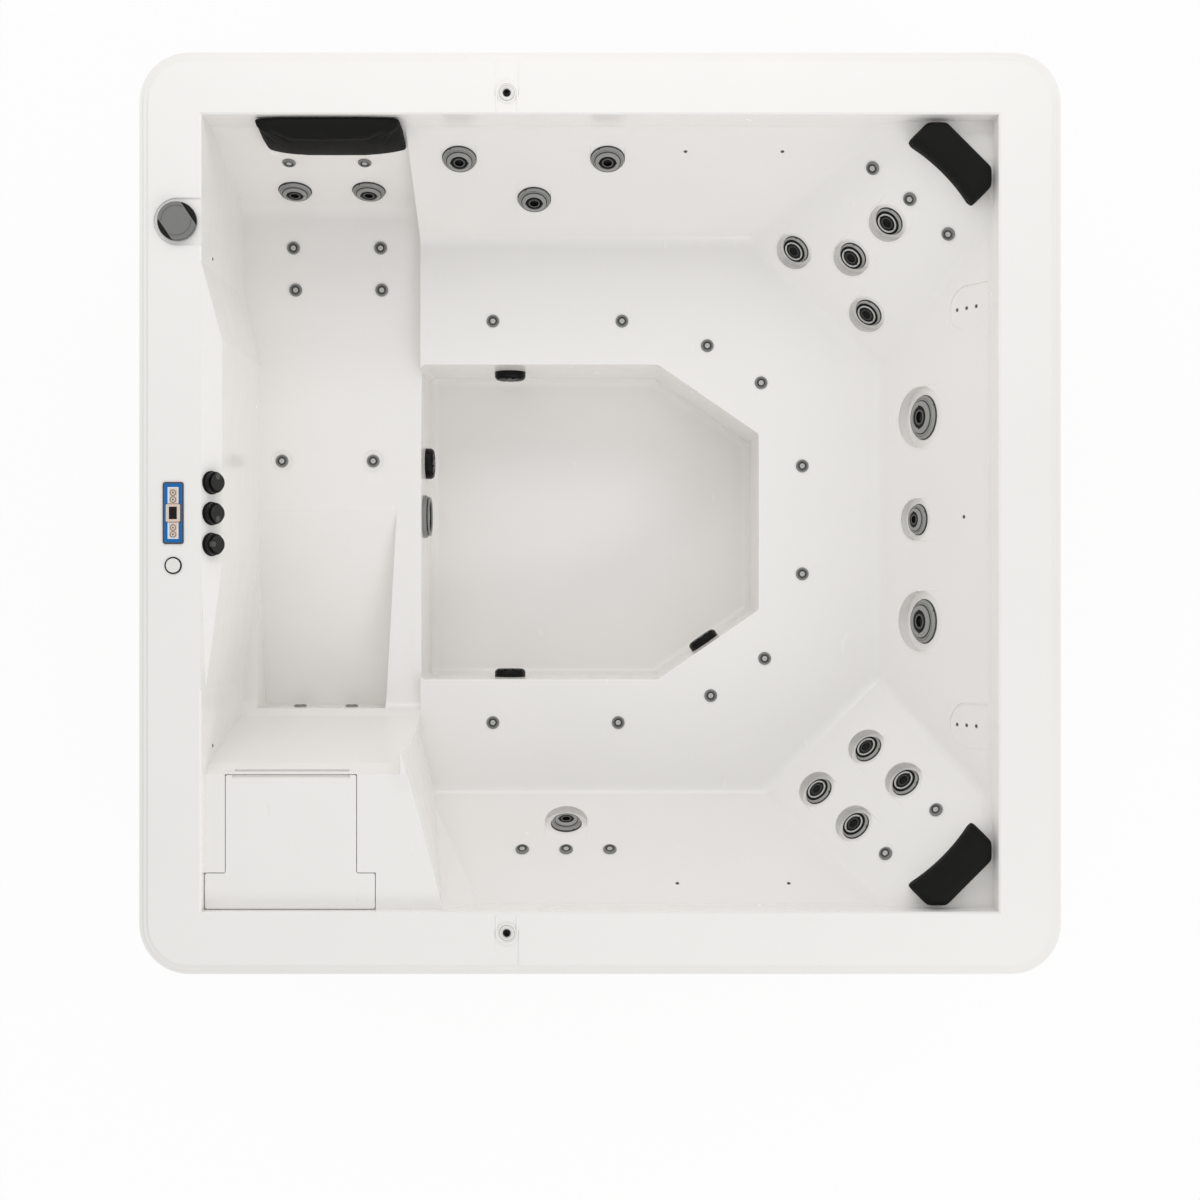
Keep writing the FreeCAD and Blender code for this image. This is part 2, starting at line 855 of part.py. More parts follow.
def rim():
    """Stepped rim with its lip turned down all round."""
    def slab(inset, bottom, top):
        points = box_points(inset - half_width, half_width - inset, inset - half_length, half_length - inset)
        return rounded_prism(points, rim_corner_radius - inset, bottom, top)

    lip = tub_height - lip_drop
    steps = [slab(0, lip, level(2 * lip_step_height))]
    steps.append(slab(lip_step_width, lip, level(lip_step_height)))
    steps.append(slab(2 * lip_step_width, lip, tub_height))
    return steps[0].fuse(steps[1:]).cut(slab(shell_wall, lip - overrun, rim_under))


def footwell_spot(side, share, height):
    """Place on one of the footwell's walls, at a share of the wall's length."""
    start = Vector(*footwell_points[side], height)
    end = Vector(*footwell_points[(side + 1) % len(footwell_points)], height)
    along = (start - end).normalize()
    return Spot(start + (end - start) * share, along.cross(up), along)


def injector_spots():
    """Places of the air injectors in the seats round the footwell."""
    spots = []
    for side, shares in injector_shares.items():
        for share in shares:
            edge = footwell_spot(side, share, seat_level)
            spots.append(Spot(edge.point - edge.normal * injector_offset, up, edge.along))
    return spots


class Jet:
    """A large jet: its place, its size, how far in its bezel reaches and the pocket that it sits in."""

    def __init__(self, spot, diameter, bezel_share, pocket_radius, tilt):
        self.spot = spot
        self.radius = diameter / 2
        self.bezel_share = bezel_share
        self.pocket_radius = pocket_radius
        self.pocket_depth = 2 * pocket_radius * math.sin(math.radians(tilt))

    def pocket(self, grow):
        """Space of the pocket, grown by a wall."""
        space = rod(2 * (self.pocket_radius + grow), -grow, self.pocket_depth + overrun - grow)
        return self.spot.set(space)

    def hole(self):
        """Hole in the shell for the barrel."""
        barrel = 2 * self.radius * jet_barrel_share
        return self.spot.set(rod(barrel + 2 * fit_gap, -overrun, jet_flange))

    def body(self):
        """Fixed body: a barrel through the shell, a flange on it and a nozzle in the middle."""
        barrel = self.radius * jet_barrel_share
        bore = self.radius * jet_bore_share
        nozzle = self.radius * jet_nozzle_share
        well = self.radius * (self.bezel_share - jet_wall_share)
        return self.spot.set(turned([
            (0, -jet_barrel_length),
            (barrel, -jet_barrel_length),
            (barrel, 0),
            (self.radius - jet_face_bevel, 0),
            (self.radius - jet_face_bevel, jet_flange),
            (well, jet_flange),
            (well, -jet_well_depth),
            (nozzle, -jet_well_depth),
            (nozzle, jet_nozzle_top - jet_face_bevel),
            ((nozzle + bore) / 2, jet_nozzle_top),
            (bore, jet_nozzle_top - jet_face_bevel),
            (bore, -jet_bore_depth),
            (0, -jet_bore_depth),
        ]))

    def face(self):
        """Bezel that is turned by hand to set the flow."""
        inner = self.radius * self.bezel_share
        groove = self.radius * jet_groove_share
        low = jet_flange + fit_gap
        ring = turned([
            (inner, low),
            (self.radius, low),
            (self.radius, jet_face_top - 2 * jet_face_bevel),
            (groove + jet_groove, jet_face_top),
            (groove + jet_groove, jet_face_top - jet_groove),
            (groove, jet_face_top - jet_groove),
            (groove, jet_face_top),
            (inner + jet_face_bevel, jet_face_top),
            (inner, jet_face_top - jet_face_bevel),
        ])
        notch = rod(2 * jet_notch_radius, 0, jet_face_top + overrun)
        notch.translate(right * (self.radius + jet_notch_radius / 2))
        return self.spot.set(ring.cut(ring_of(notch, jet_notches)))


def jet_row(wall, places, diameter, bezel_share, pocket_radius=0, tilt=0):
    """Jets of one size on one wall."""
    return [
        Jet(wall.pocket_spot(place, pocket_radius, tilt), diameter, bezel_share, pocket_radius, tilt)
        for place in places
    ]


jets = jet_row(rear_back, rear_jet_shares, rear_jet_diameter, wide_bezel_share)
jets += jet_row(lounge_back, lounge_jet_shares, lounge_jet_diameter, wide_bezel_share)
jets += jet_row(
    right_back, right_jet_shares, right_jet_diameter, wide_bezel_share, right_pocket_radius, back_pocket_tilt
)
jets += jet_row(
    right_back, middle_jet_shares, middle_jet_diameter, wide_bezel_share, middle_pocket_radius, back_pocket_tilt
)
jets += jet_row(
    front_back, front_jet_shares, front_jet_diameter, wide_bezel_share, middle_pocket_radius, back_pocket_tilt
)
for corner, places in ((rear_corner, rear_corner_jet_shares), (front_corner, front_corner_jet_shares)):
    jets += jet_row(
        corner, places, corner_jet_diameter, narrow_bezel_share, corner_pocket_radius, corner_pocket_tilt
    )
thigh_spots = [lounge_thigh.spot(place) for place in lounge_thigh_shares]
small_jet_spots = [spot.sunk(thigh_recess_depth) for spot in thigh_spots]
for wall, places in (
    (lounge_back, lounge_neck_shares),
    (lounge_seat, lounge_seat_shares),
    (leg_end, leg_end_shares),
    (rear_corner, rear_corner_small_shares),
    (front_corner, front_corner_small_shares),
    (front_back, front_small_shares),
):
    small_jet_spots += [wall.spot(place) for place in places]
pad_spots = [right_back.spot(place) for place in pin_pad_shares]
pin_spots = []
for wall, places in (
    (rear_back, rear_pin_shares),
    (right_back, right_pin_shares),
    (front_back, front_pin_shares),
):
    pin_spots += [wall.spot(place) for place in places]
for pin_y in (mouth_y - left_pin_rear_gap, left_pin_front_gap - platform_front):
    pin_spots.append(left_side.spot((pin_y / mouth_y, left_pin_drop_share)))
for pad in pad_spots:
    floor = pad.sunk(pin_pad_depth)
    up_slope = pad.normal.cross(pad.along)
    for step in (-1, 0, 1):
        pin_spots.append(Spot(floor.point + up_slope * (pin_spacing * step), pad.normal, pad.along))
suction_level = footwell_floor + (seat_level - footwell_floor) * suction_height_share
suction_spots = [footwell_spot(side, share, suction_level) for side, share in suction_shares.items()]
left_suction_share = lamp_share - lamp_to_suction / (2 * footwell_half_length)
suction_spots.append(footwell_spot(0, left_suction_share, suction_level))
lamp_spot = footwell_spot(0, lamp_share, lounge_thigh_height - lamp_below_thigh)
knob_spots = [console_slope.spot((place, knob_drop_share)) for place in (1, 0, -1)]
fountain_spots = [
    Spot(Vector(-fountain_place, side * (half_length - fountain_inset), tub_height), up, -right * side)
    for side in (1, -1)
]
diverter_spot = Spot(Vector(diverter_x, diverter_place, tub_height - diverter_recess_depth), up, right)
button_spot = Spot(Vector(controls_x, -button_place, tub_height), up, right)


def pin_pad(spot):
    """Shallow pad, round at its foot and open to the top of the back."""
    to_top = right_back.drop.Length * pin_pad_shares[0][1]
    round_end = rod(2 * pin_pad_half_width, -pin_pad_depth, overrun)
    straight = block(-pin_pad_half_width, pin_pad_half_width, 0, to_top, -pin_pad_depth, overrun)
    return spot.set(round_end.fuse(straight))


def fountain_pad(spot):
    """Shallow pad in the rim, round behind the nozzle and open to the mouth, with a ring left standing."""
    half = fountain_pad_width / 2
    to_mouth = rim_width - fountain_inset + overrun
    pad = rod(fountain_pad_width, -fountain_pad_depth, overrun)
    pad = pad.fuse(block(-half, half, -to_mouth, 0, -fountain_pad_depth, overrun))
    return spot.set(pad.cut(rod(fountain_ring_diameter, -overrun, 0)))


def diverter_recess():
    """Shallow recess round the diverter, open to the mouth."""
    to_mouth = rim_width - diverter_inset + overrun
    round_end = rod(2 * diverter_recess_radius, 0, overrun)
    straight = block(0, to_mouth, -diverter_recess_radius, diverter_recess_radius, 0, overrun)
    return diverter_spot.set(round_end.fuse(straight))


def panel_outline(inset):
    """Outline of the control panel, drawn in by a gap."""
    half_breadth = panel_breadth / 2 - inset
    half_panel = panel_length / 2 - inset
    return box_points(controls_x - half_breadth, controls_x + half_breadth, -half_panel, half_panel)


def mouth_edge():
    """Chamfer round the mouth of the tub."""
    low = level(mouth_chamfer)
    plan = box_points(-mouth_x, mouth_x, -mouth_y, mouth_y)
    wide = outset(plan, mouth_chamfer)
    return between(flat_points(plan, low), flat_points(wide, tub_height))


def drilled(spots, diameter):
    """Holes for round barrels."""
    return [spot.set(rod(diameter + 2 * fit_gap, -overrun, small_jet_height)) for spot in spots]


def acrylic_shell():
    """One-piece shell: rim, seats, lounge, footwell, platform and the holes for every fitting."""
    pockets = [jet for jet in jets if jet.pocket_radius]
    outside = seat_well(shell_wall).fuse([
        footwell(shell_wall),
        lounge(shell_wall),
        leg_well(shell_wall),
        platform_mouth(shell_wall),
        filter_space(shell_wall),
    ])
    outside = outside.fuse([jet.pocket(shell_wall) for jet in pockets])
    clip = block(-half_width, half_width, -half_length, half_length, 0, level(shell_wall / 2))
    inside = softened_seat_well().fuse([
        footwell(0),
        lounge(0),
        leg_well(0),
        platform_mouth(0),
        filter_space(0),
        skimmer_slot(),
    ])
    shell = outside.common(clip).fuse(rim()).cut(inside)
    console_clear = -mouth_x + console_bulge + overrun
    edge = mouth_edge().cut(block(-half_width, console_clear, -console_front_end, console_rear_end, 0, rim_over))
    cuts = [jet.pocket(0) for jet in pockets]
    cuts += [jet.hole() for jet in jets]
    cuts += [spot.set(rod(thigh_recess_diameter, -thigh_recess_depth, overrun)) for spot in thigh_spots]
    cuts += [pin_pad(spot) for spot in pad_spots]
    cuts += drilled(small_jet_spots + injector_spots(), small_jet_barrel)
    cuts += drilled(pin_spots, pin_diameter)
    cuts += drilled(suction_spots, suction_barrel)
    cuts += drilled([lamp_spot], lamp_barrel)
    cuts += drilled(knob_spots, knob_barrel)
    cuts += drilled([diverter_spot], diverter_barrel)
    cuts += drilled([button_spot], button_ring_diameter - 2 * ring_height)
    cuts += drilled(fountain_spots, fountain_barrel)
    cuts += [fountain_pad(spot) for spot in fountain_spots]
    cuts.append(diverter_recess())
    cuts.append(edge)
    cuts.append(rounded_prism(panel_outline(0), panel_corner_radius, level(panel_recess), rim_over))
    return shell.cut(cuts)


def small_jet(height):
    """Small jet: a barrel through the shell and a ring round a nozzle."""
    radius = small_jet_diameter / 2
    barrel = small_jet_barrel / 2
    throat = radius * small_jet_throat_share
    nozzle = radius * small_jet_nozzle_share
    return turned([
        (0, -small_jet_length),
        (barrel, -small_jet_length),
        (barrel, 0),
        (radius, 0),
        (radius, height - small_jet_bevel),
        (radius - small_jet_bevel, height),
        (throat, height),
        (throat, height - small_jet_throat_depth),
        (nozzle, height - small_jet_throat_depth),
        (nozzle, height - small_jet_bevel / 2),
        (0, height - small_jet_bevel / 2),
    ])


def light_pin():
    """Small round light set in the shell."""
    radius = pin_diameter / 2
    return turned([(0, -pin_length), (radius, -pin_length), (radius, 0), (radius / 2, pin_height), (0, pin_height)])


def suction_cover():
    """Domed suction cover with slots round its edge."""
    radius = suction_diameter / 2
    barrel = suction_barrel / 2
    outline = [
        (0, -suction_length),
        (barrel, -suction_length),
        (barrel, 0),
        (radius, 0),
        (radius, suction_height),
        (0, suction_height),
    ]
    dome = turned(outline, [0, 0, 0, 0, suction_height - suction_slot_width, 0])
    hub = radius * suction_hub_share
    half_slot = suction_slot_width / 2
    slot = block(hub, radius + overrun, -half_slot, half_slot, suction_height - suction_slot_depth, suction_height)
    return dome.cut(ring_of(slot, suction_slots))


def footwell_light():
    """Light fitting in the footwell wall, open in front for its lens."""
    radius = lamp_diameter / 2
    barrel = lamp_barrel / 2
    lens = radius * lamp_lens_share + fit_gap
    seat = lamp_height - lens_height
    outline = [
        (0, -lamp_length),
        (barrel, -lamp_length),
        (barrel, 0),
        (radius, 0),
        (radius, lamp_height),
        (lens, lamp_height),
        (lens, seat),
        (0, seat),
    ]
    return lamp_spot.set(turned(outline, [0, 0, 0, 0, seat, 0, 0, 0]))


def light_lens():
    """Clear lens of the footwell light, seated in its ring."""
    radius = lamp_diameter / 2 * lamp_lens_share
    seat = lamp_height - lens_height
    outline = [(0, seat), (radius, seat), (radius, lamp_height), (0, lamp_height + lens_height / 2)]
    return lamp_spot.set(turned(outline))


def fountain_nozzle():
    """Rim fountain: a nozzle with a bore, on a barrel through the rim."""
    radius = fountain_nozzle_diameter / 2
    barrel = fountain_barrel / 2
    bore = fountain_bore / 2
    return turned([
        (0, -fountain_barrel_length),
        (barrel, -fountain_barrel_length),
        (barrel, 0),
        (radius, 0),
        (radius, fountain_nozzle_height - bore),
        (radius - bore / 2, fountain_nozzle_height),
        (bore, fountain_nozzle_height),
        (bore, 0),
        (0, 0),
    ])


# Pillows
def bulged_edge(start, end, bulge):
    """Arc between two points that stands off their chord by a vector."""
    return Part.Arc(start, (start + end) / 2 + bulge, end).toShape()


def straight_edge(start, end):
    """Straight edge between two points."""
    return Part.LineSegment(start, end).toShape()


def lounge_pillow():
    """Head pillow of the lounge: flat behind, crowned in front, drawn in towards its ends."""
    back_height = level(band_drop) - lounge_back_foot_height
    back_lean = lounge_back_run / back_height
    back = mouth_y - pillow_gap
    middle = -lounge_edge - lounge_pillow_inset
    sections = []
    for share in pillow_section_shares:
        x = middle + share * lounge_pillow_length / 2
        full = 1 - share ** pillow_end_power / 2
        draw = lounge_pillow_crown * share ** pillow_end_power
        top = level(lounge_pillow_top + draw)
        foot_drop = band_drop + back_height * lounge_pillow_foot_share - draw
        front = back - (lounge_pillow_thickness + lounge_pillow_crown * (1 - share ** pillow_crown_power)) * full
        corner = Vector(x, back, level(band_drop))
        back_top = Vector(x, back, top)
        back_foot = Vector(x, back - back_lean * (foot_drop - band_drop), level(foot_drop))
        front_foot = back_foot + Vector(0, -lounge_pillow_foot_thickness * full, 0)
        crease = Vector(x, front, level(lounge_pillow_top + lounge_pillow_crease))
        top_front = Vector(x, front + lounge_pillow_crown / 2, top)
        sections.append(Part.Wire([
            straight_edge(back_top, corner),
            straight_edge(corner, back_foot),
            bulged_edge(back_foot, front_foot, up * -draw_depth),
            bulged_edge(front_foot, crease, rear * (-lounge_pillow_crown * full)),
            bulged_edge(crease, top_front, rear * -draw_depth),
            bulged_edge(top_front, back_top, up * draw_depth),
        ]))
    return Part.makeLoft(sections, True, True)


def corner_pillow(side):
    """Corner pillow: hollowed towards the neck, crowned on top, seated on the ledge and the back."""
    corner, outwards, along = corner_axes(side)
    half = corner_pillow_length / 2
    sections = []
    for drop, inset in (
        (corner_pillow_foot, corner_pillow_crown),
        (ledge_drop, 0),
        (corner_pillow_shoulder, 0),
        (corner_pillow_top + draw_depth, corner_pillow_crown / 2),
        (corner_pillow_top, corner_pillow_crown),
    ):
        inner = inset - corner_pillow_inner_depth
        outer = -corner_pillow_outer_depth - inset
        reach = half - inset
        shoulder = outer - corner_pillow_cut
        ring = [(reach, inner), (reach, shoulder), (reach - corner_pillow_cut, outer)]
        ring += [(-t, c) for t, c in reversed(ring)]
        points = [corner + along * t + outwards * c + up * level(drop) for t, c in ring]
        edges = [straight_edge(points[i], points[i + 1]) for i in range(len(points) - 1)]
        edges.append(bulged_edge(points[-1], points[0], outwards * corner_pillow_hollow))
        sections.append(Part.Wire(edges))
    return Part.makeLoft(sections, True, True).cut(corner_fill(side, -pillow_gap))


# Rim controls
panel_floor = level(panel_recess)
panel_top = panel_floor + panel_height
key_spots = [
    Spot(Vector(controls_x, panel_length / 2 * share, panel_top), up, right) for share in key_place_shares
]


def screen_box(inset, bottom, top):
    """Box of the screen, drawn in by a gap."""
    half_breadth = screen_breadth / 2 - inset
    half_screen = screen_length / 2 - inset
    return block(controls_x - half_breadth, controls_x + half_breadth, -half_screen, half_screen, bottom, top)


def control_panel():
    """Panel with a raised screen frame, a window for the screen and holes for its keys."""
    plate = rounded_prism(panel_outline(fit_gap), panel_corner_radius, panel_floor, panel_top)
    half_breadth = screen_frame_breadth / 2
    half_frame = screen_frame_length / 2
    points = box_points(controls_x - half_breadth, controls_x + half_breadth, -half_frame, half_frame)
    frame = rounded_prism(points, panel_corner_radius / 2, panel_floor, panel_top + screen_depth)
    cuts = [screen_box(0, panel_top, rim_over)]
    cuts += [spot.set(rod(key_diameter + 2 * fit_gap, -panel_height - overrun, overrun)) for spot in key_spots]
    return plate.fuse(frame).cut(cuts)


def control_key(spot):
    """Round key that dips into the panel."""
    radius = key_diameter / 2
    low = key_travel + fit_gap - panel_height
    return spot.set(turned([
        (0, low),
        (radius, low),
        (radius, 0),
        (radius - key_height / 2, key_height),
        (0, key_height),
    ]))


def knob_body():
    """Fixed rim of an air knob, with its barrel and spindle."""
    barrel = knob_barrel / 2
    radius = knob_diameter / 2
    spindle = spindle_diameter / 2
    return turned([
        (0, -knob_barrel_length),
        (barrel, -knob_barrel_length),
        (barrel, 0),
        (radius, 0),
        (radius - knob_inset / 2, knob_rim),
        (spindle, knob_rim),
        (spindle, knob_rim + spindle_height),
        (0, knob_rim + spindle_height),
    ])


def air_knob(spot, nub_x, nub_y):
    """Air knob with a nub set off its middle."""
    radius = knob_diameter / 2 - knob_inset
    bore = spindle_diameter / 2 + fit_gap
    low = knob_rim + fit_gap
    body = turned([
        (bore, low),
        (radius, low),
        (radius, knob_height - knob_inset),
        (radius - knob_inset, knob_height),
        (0, knob_height),
        (0, knob_rim + spindle_height + fit_gap),
        (bore, knob_rim + spindle_height + fit_gap),
    ])
    nub = rod(knob_nub_diameter, knob_height - knob_inset, knob_height + knob_nub_height)
    nub.translate(Vector(nub_x, nub_y, 0) * knob_nub_offset)
    return spot.set(body.fuse(nub))


def diverter_body():
    """Fixed valve under the diverter knob."""
    barrel = diverter_barrel / 2
    radius = diverter_diameter / 2 - knob_inset
    spindle = spindle_diameter / 2
    return diverter_spot.set(turned([
        (0, -diverter_barrel_length),
        (barrel, -diverter_barrel_length),
        (barrel, 0),
        (radius, 0),
        (radius, ring_height),
        (spindle, ring_height),
        (spindle, ring_height + spindle_height),
        (0, ring_height + spindle_height),
    ]))


def diverter_knob():
    """Diverter knob: a disc with a broad raised bar across it."""
    radius = diverter_diameter / 2
    bore = spindle_diameter / 2 + fit_gap
    low = ring_height + fit_gap
    top = low + diverter_disc_height
    half_bar = diverter_bar_width / 2
    disc = turned([(bore, low), (radius, low), (radius, top), (bore, top)])
    raised = rod(diverter_diameter - knob_inset, top, top + diverter_bar_height)
    raised = raised.common(block(-radius, radius, -half_bar, half_bar, top, top + diverter_bar_height))
    knob = disc.fuse(raised).cut(rod(2 * bore, 0, ring_height + spindle_height + fit_gap))
    knob.rotate(Vector(0, 0, 0), up, diverter_bar_angle)
    return diverter_spot.set(Part.Compound([knob]))


def button_ring():
    """Ring and barrel that guide the round rim button."""
    radius = button_ring_diameter / 2
    barrel = radius - ring_height
    bore = button_diameter / 2 + fit_gap
    depth = button_depth + button_travel + fit_gap
    return button_spot.set(turned([
        (0, -button_barrel_length),
        (barrel, -button_barrel_length),
        (barrel, 0),
        (radius, 0),
        (radius, ring_height),
        (bore, ring_height),
        (bore, -depth),
        (0, -depth),
    ]))


def aux_button():
    """Round rim button, slightly domed."""
    radius = button_diameter / 2
    top = ring_height + button_height
    outline = [(0, -button_depth), (radius, -button_depth), (radius, top), (0, top)]
    return button_spot.set(turned(outline, [0, 0, button_height / 2, 0]))


# Filter lid and cartridges
def filter_lid():
    """T-shaped lid, flush with the platform, with a bevelled finger slot in its front edge."""
    top = level(platform_drop)
    bottom = top - lid_thickness
    plate = rounded_prism(lid_outline(lid_gap), lid_corner_radius, bottom, top)
    front = -platform_front - lid_gap
    middle = -(lid_stem_left + lid_stem_right) / 2
    ring = [Vector(middle, front, top), Vector(middle, front - lid_slot_depth, top)]
    ring.append(Vector(middle, front, top - lid_slot_depth))
    slot = face_of(ring).extrude(right * lid_slot_width)
    slot.translate(right * (-lid_slot_width / 2))
    return plate.cut(slot)


def filter_cartridges():
    """Two pleated cartridges standing in the filter well."""
    outer = cartridge_diameter / 2
    inner = outer - cartridge_pleat_depth
    steps = 2 * cartridge_pleats
    ring = []
    for i in range(steps):
        radius = inner if i % 2 else outer - cartridge_cap_overhang
        angle = 2 * math.pi * i / steps
        ring.append((radius * math.cos(angle), radius * math.sin(angle)))
    pleats = prism(ring, cartridge_cap, cartridge_length - cartridge_cap)
    ends = [rod(cartridge_diameter, 0, cartridge_cap)]
    ends.append(rod(cartridge_diameter, cartridge_length - cartridge_cap, cartridge_length))
    cartridge = pleats.fuse(ends).cut(rod(cartridge_bore, cartridge_cap, cartridge_length + overrun))
    middle_x = -(lid_stem_left + lid_stem_right) / 2
    middle_y = (filter_rebate - lid_foot_line - platform_front - filter_rebate - shell_wall) / 2
    pair = []
    for way in (-1, 1):
        offset = way * cartridge_spacing / 2
        place = Spot(Vector(middle_x + offset, middle_y, level(filter_well_drop)), up, right)
        pair.append(place.set(cartridge))
    return pair


# Cabinet
straight_x = half_width - rim_corner_radius
straight_y = half_length - rim_corner_radius
panel_head = rim_under - panel_top_gap
access_head = tub_height - lip_drop - access_gap
rail_inner_x = panel_back_x - rail_thickness
rail_inner_y = panel_back_y - rail_thickness


def turned_to(side_count, shape):
    """Copy of a shape turned by a number of quarter turns about the tub's middle."""
    copy = shape.copy()
    copy.rotate(Vector(0, 0, 0), up, 90 * side_count)
    return copy


def plank_panel(half_span, back, face, bottom, top):
    """Panel on the rear side, grooved on its face to show its planks."""
    panel = block(-half_span, half_span, back, face, bottom, top)
    pitch = (top - bottom) / plank_count
    grooves = []
    for i in range(1, plank_count):
        height = bottom + pitch * i
        ring = [Vector(-half_span - overrun, face - plank_groove, height)]
        ring.append(Vector(-half_span - overrun, face + plank_groove, height + 2 * plank_groove))
        ring.append(Vector(-half_span - overrun, face + plank_groove, height - 2 * plank_groove))
        grooves.append(face_of(ring).extrude(right * (2 * half_span + 2 * overrun)))
    return panel.cut(grooves)


front_drain = Spot(Vector(-drain_place, -panel_face_y, drain_height), -rear, right)
front_inlet = Spot(Vector(-inlet_place, -panel_face_y, inlet_height), -rear, right)


def front_holes():
    """Holes for the drain and the power conduit through the front panel and what lies behind it."""
    deep = panel_thickness + rail_thickness + board_thickness + overrun
    drain = front_drain.set(rod(drain_barrel + 2 * fit_gap, -deep, overrun))
    return [drain, front_inlet.set(rod(inlet_diameter, -deep, overrun))]


def access_panel():
    """Removable panel on the left side, with holes for its screws."""
    half_span = straight_y - access_gap
    panel = plank_panel(half_span, panel_back_x, panel_face_x, pan_height + access_gap, access_head)
    holes = [spot.set(rod(screw_shank + 2 * fit_gap, -panel_thickness, overrun)) for spot in screw_spots]
    return turned_to(1, panel).cut(holes)


screw_spots = []
for screw_height in (pan_height + screw_edge, access_head - screw_edge):
    for screw_share in screw_place_shares:
        screw_point = Vector(-panel_face_x, straight_y * screw_share, screw_height)
        screw_spots.append(Spot(screw_point, -right, rear))


def access_screw():
    """Screw with a slotted round head."""
    radius = screw_head / 2
    shank = screw_shank / 2
    body = turned([
        (0, -screw_shank_length),
        (shank, -screw_shank_length),
        (shank, 0),
        (radius, 0),
        (radius - screw_head_height / 2, screw_head_height),
        (0, screw_head_height),
    ])
    half_slot = screw_slot / 2
    return body.cut(block(-radius, radius, -half_slot, half_slot, screw_head_height / 2, screw_head_height))


def corner_trims():
    """Rounded trims over the corners of the cabinet."""
    outer = Part.makeCylinder(cabinet_corner, panel_head - pan_height, Vector(0, 0, pan_height), up, 90)
    inner = Part.makeCylinder(
        cabinet_corner - trim_thickness, panel_head - pan_height, Vector(0, 0, pan_height), up, 90
    )
    trim = outer.cut(inner)
    trims = []
    for turn, (way_x, way_y) in enumerate(((1, 1), (-1, 1), (-1, -1), (1, -1))):
        placed = turned_to(turn, trim)
        placed.translate(Vector(way_x * straight_x, way_y * straight_y, 0))
        trims.append(placed)
    return trims


def timber_frame():
    """Rails under the rim and on the pan, boards between them, and a post in each corner."""
    members = []
    head = rim_under - rail_height
    foot = pan_height + rail_height
    for side in range(4):
        half_span = straight_x if side % 2 == 0 else straight_y
        inner = rail_inner_y if side % 2 == 0 else rail_inner_x
        outer = inner + rail_thickness
        members.append(turned_to(side, block(-half_span, half_span, inner, outer, head, rim_under)))
        members.append(turned_to(side, block(-half_span, half_span, inner, outer, pan_height, foot)))
        for share in post_place_shares:
            middle = half_span * share
            post = block(middle - post_width / 2, middle + post_width / 2, inner, outer, foot, head)
            members.append(turned_to(side, post))
    for way_x in (-1, 1):
        for way_y in (-1, 1):
            xs = sorted((way_x * rail_inner_x, way_x * (rail_inner_x - corner_post)))
            ys = sorted((way_y * rail_inner_y, way_y * (rail_inner_y - corner_post)))
            members.append(block(*xs, *ys, pan_height, rim_under))
    return members


def insulation_boards():
    """Foam boards against the frame on the rear, right and front sides."""
    half_x = rail_inner_x - corner_post
    half_y = rail_inner_y - corner_post
    top = rim_under - board_head_gap
    rear_board = block(-half_x, half_x, rail_inner_y - board_thickness, rail_inner_y, pan_height, top)
    right_board = block(rail_inner_x - board_thickness, rail_inner_x, -half_y, half_y, pan_height, top)
    front_board = turned_to(2, rear_board).cut(front_holes())
    return [rear_board, right_board, front_board]


def base_pan():
    """Moulded pan that the tub stands on."""
    points = box_points(-panel_face_x, panel_face_x, -panel_face_y, panel_face_y)
    return rounded_prism(points, cabinet_corner, 0, pan_height)


# Pumps, heater and plumbing
pump_spots = [Spot(Vector(-pump_place, y, pump_axis_height), -rear, right) for y in pump_front_places]


def pump_motor(spot):
    """Finned motor on a foot, hollow round its core, with its shaft reaching into the wet end."""
    hollow_foot = motor_end - motor_length
    hollow = rod(motor_diameter - 2 * (motor_fin_depth + motor_wall), hollow_foot, 0)
    body = rod(motor_diameter, -motor_length, 0).cut(hollow.cut(rod(motor_core, hollow_foot, 0)))
    half_fin = motor_fin_width / 2
    radius = motor_diameter / 2
    groove = block(radius - motor_fin_depth, radius + overrun, -half_fin, half_fin, -motor_length, -rail_height)
    body = body.cut(ring_of(groove, motor_fins))
    foot_low = pan_height - pump_axis_height
    half_foot = pump_foot_width / 2
    foot_top = motor_fin_depth - radius
    foot = block(-half_foot, half_foot, foot_low, foot_top, -motor_length + pump_foot_width, -half_foot)
    foot = foot.cut(rod(motor_diameter - 2 * motor_fin_depth, -motor_length, 0))
    shaft = rod(shaft_diameter, 0, wet_end_wall + impeller_height)
    return spot.set(Part.Compound([body.fuse([foot, shaft])]))


def wet_end(spot):
    """Pump housing: a round chamber with an inlet in front and an outlet on top."""
    radius = wet_end_diameter / 2
    pipe = pipe_diameter / 2
    middle = wet_end_length / 2
    outlet = Part.makeCylinder(pipe, pipe_rise, Vector(0, 0, middle), rear)
    outlet_bore = Part.makeCylinder(pipe - pipe_wall, pipe_rise, Vector(0, 0, middle), rear)
    solid = rod(wet_end_diameter, 0, wet_end_length)
    solid = solid.fuse([outlet, rod(pipe_diameter, 0, wet_end_length + inlet_reach)])
    chamber = rod(2 * (radius - wet_end_wall), wet_end_wall, wet_end_length - wet_end_wall)
    inlet = rod(pipe_diameter - 2 * pipe_wall, wet_end_wall, wet_end_length + inlet_reach)
    shaft_hole = rod(shaft_diameter + 2 * fit_gap, 0, wet_end_wall)
    return spot.set(Part.Compound([solid.cut([chamber, inlet, outlet_bore, shaft_hole])]))


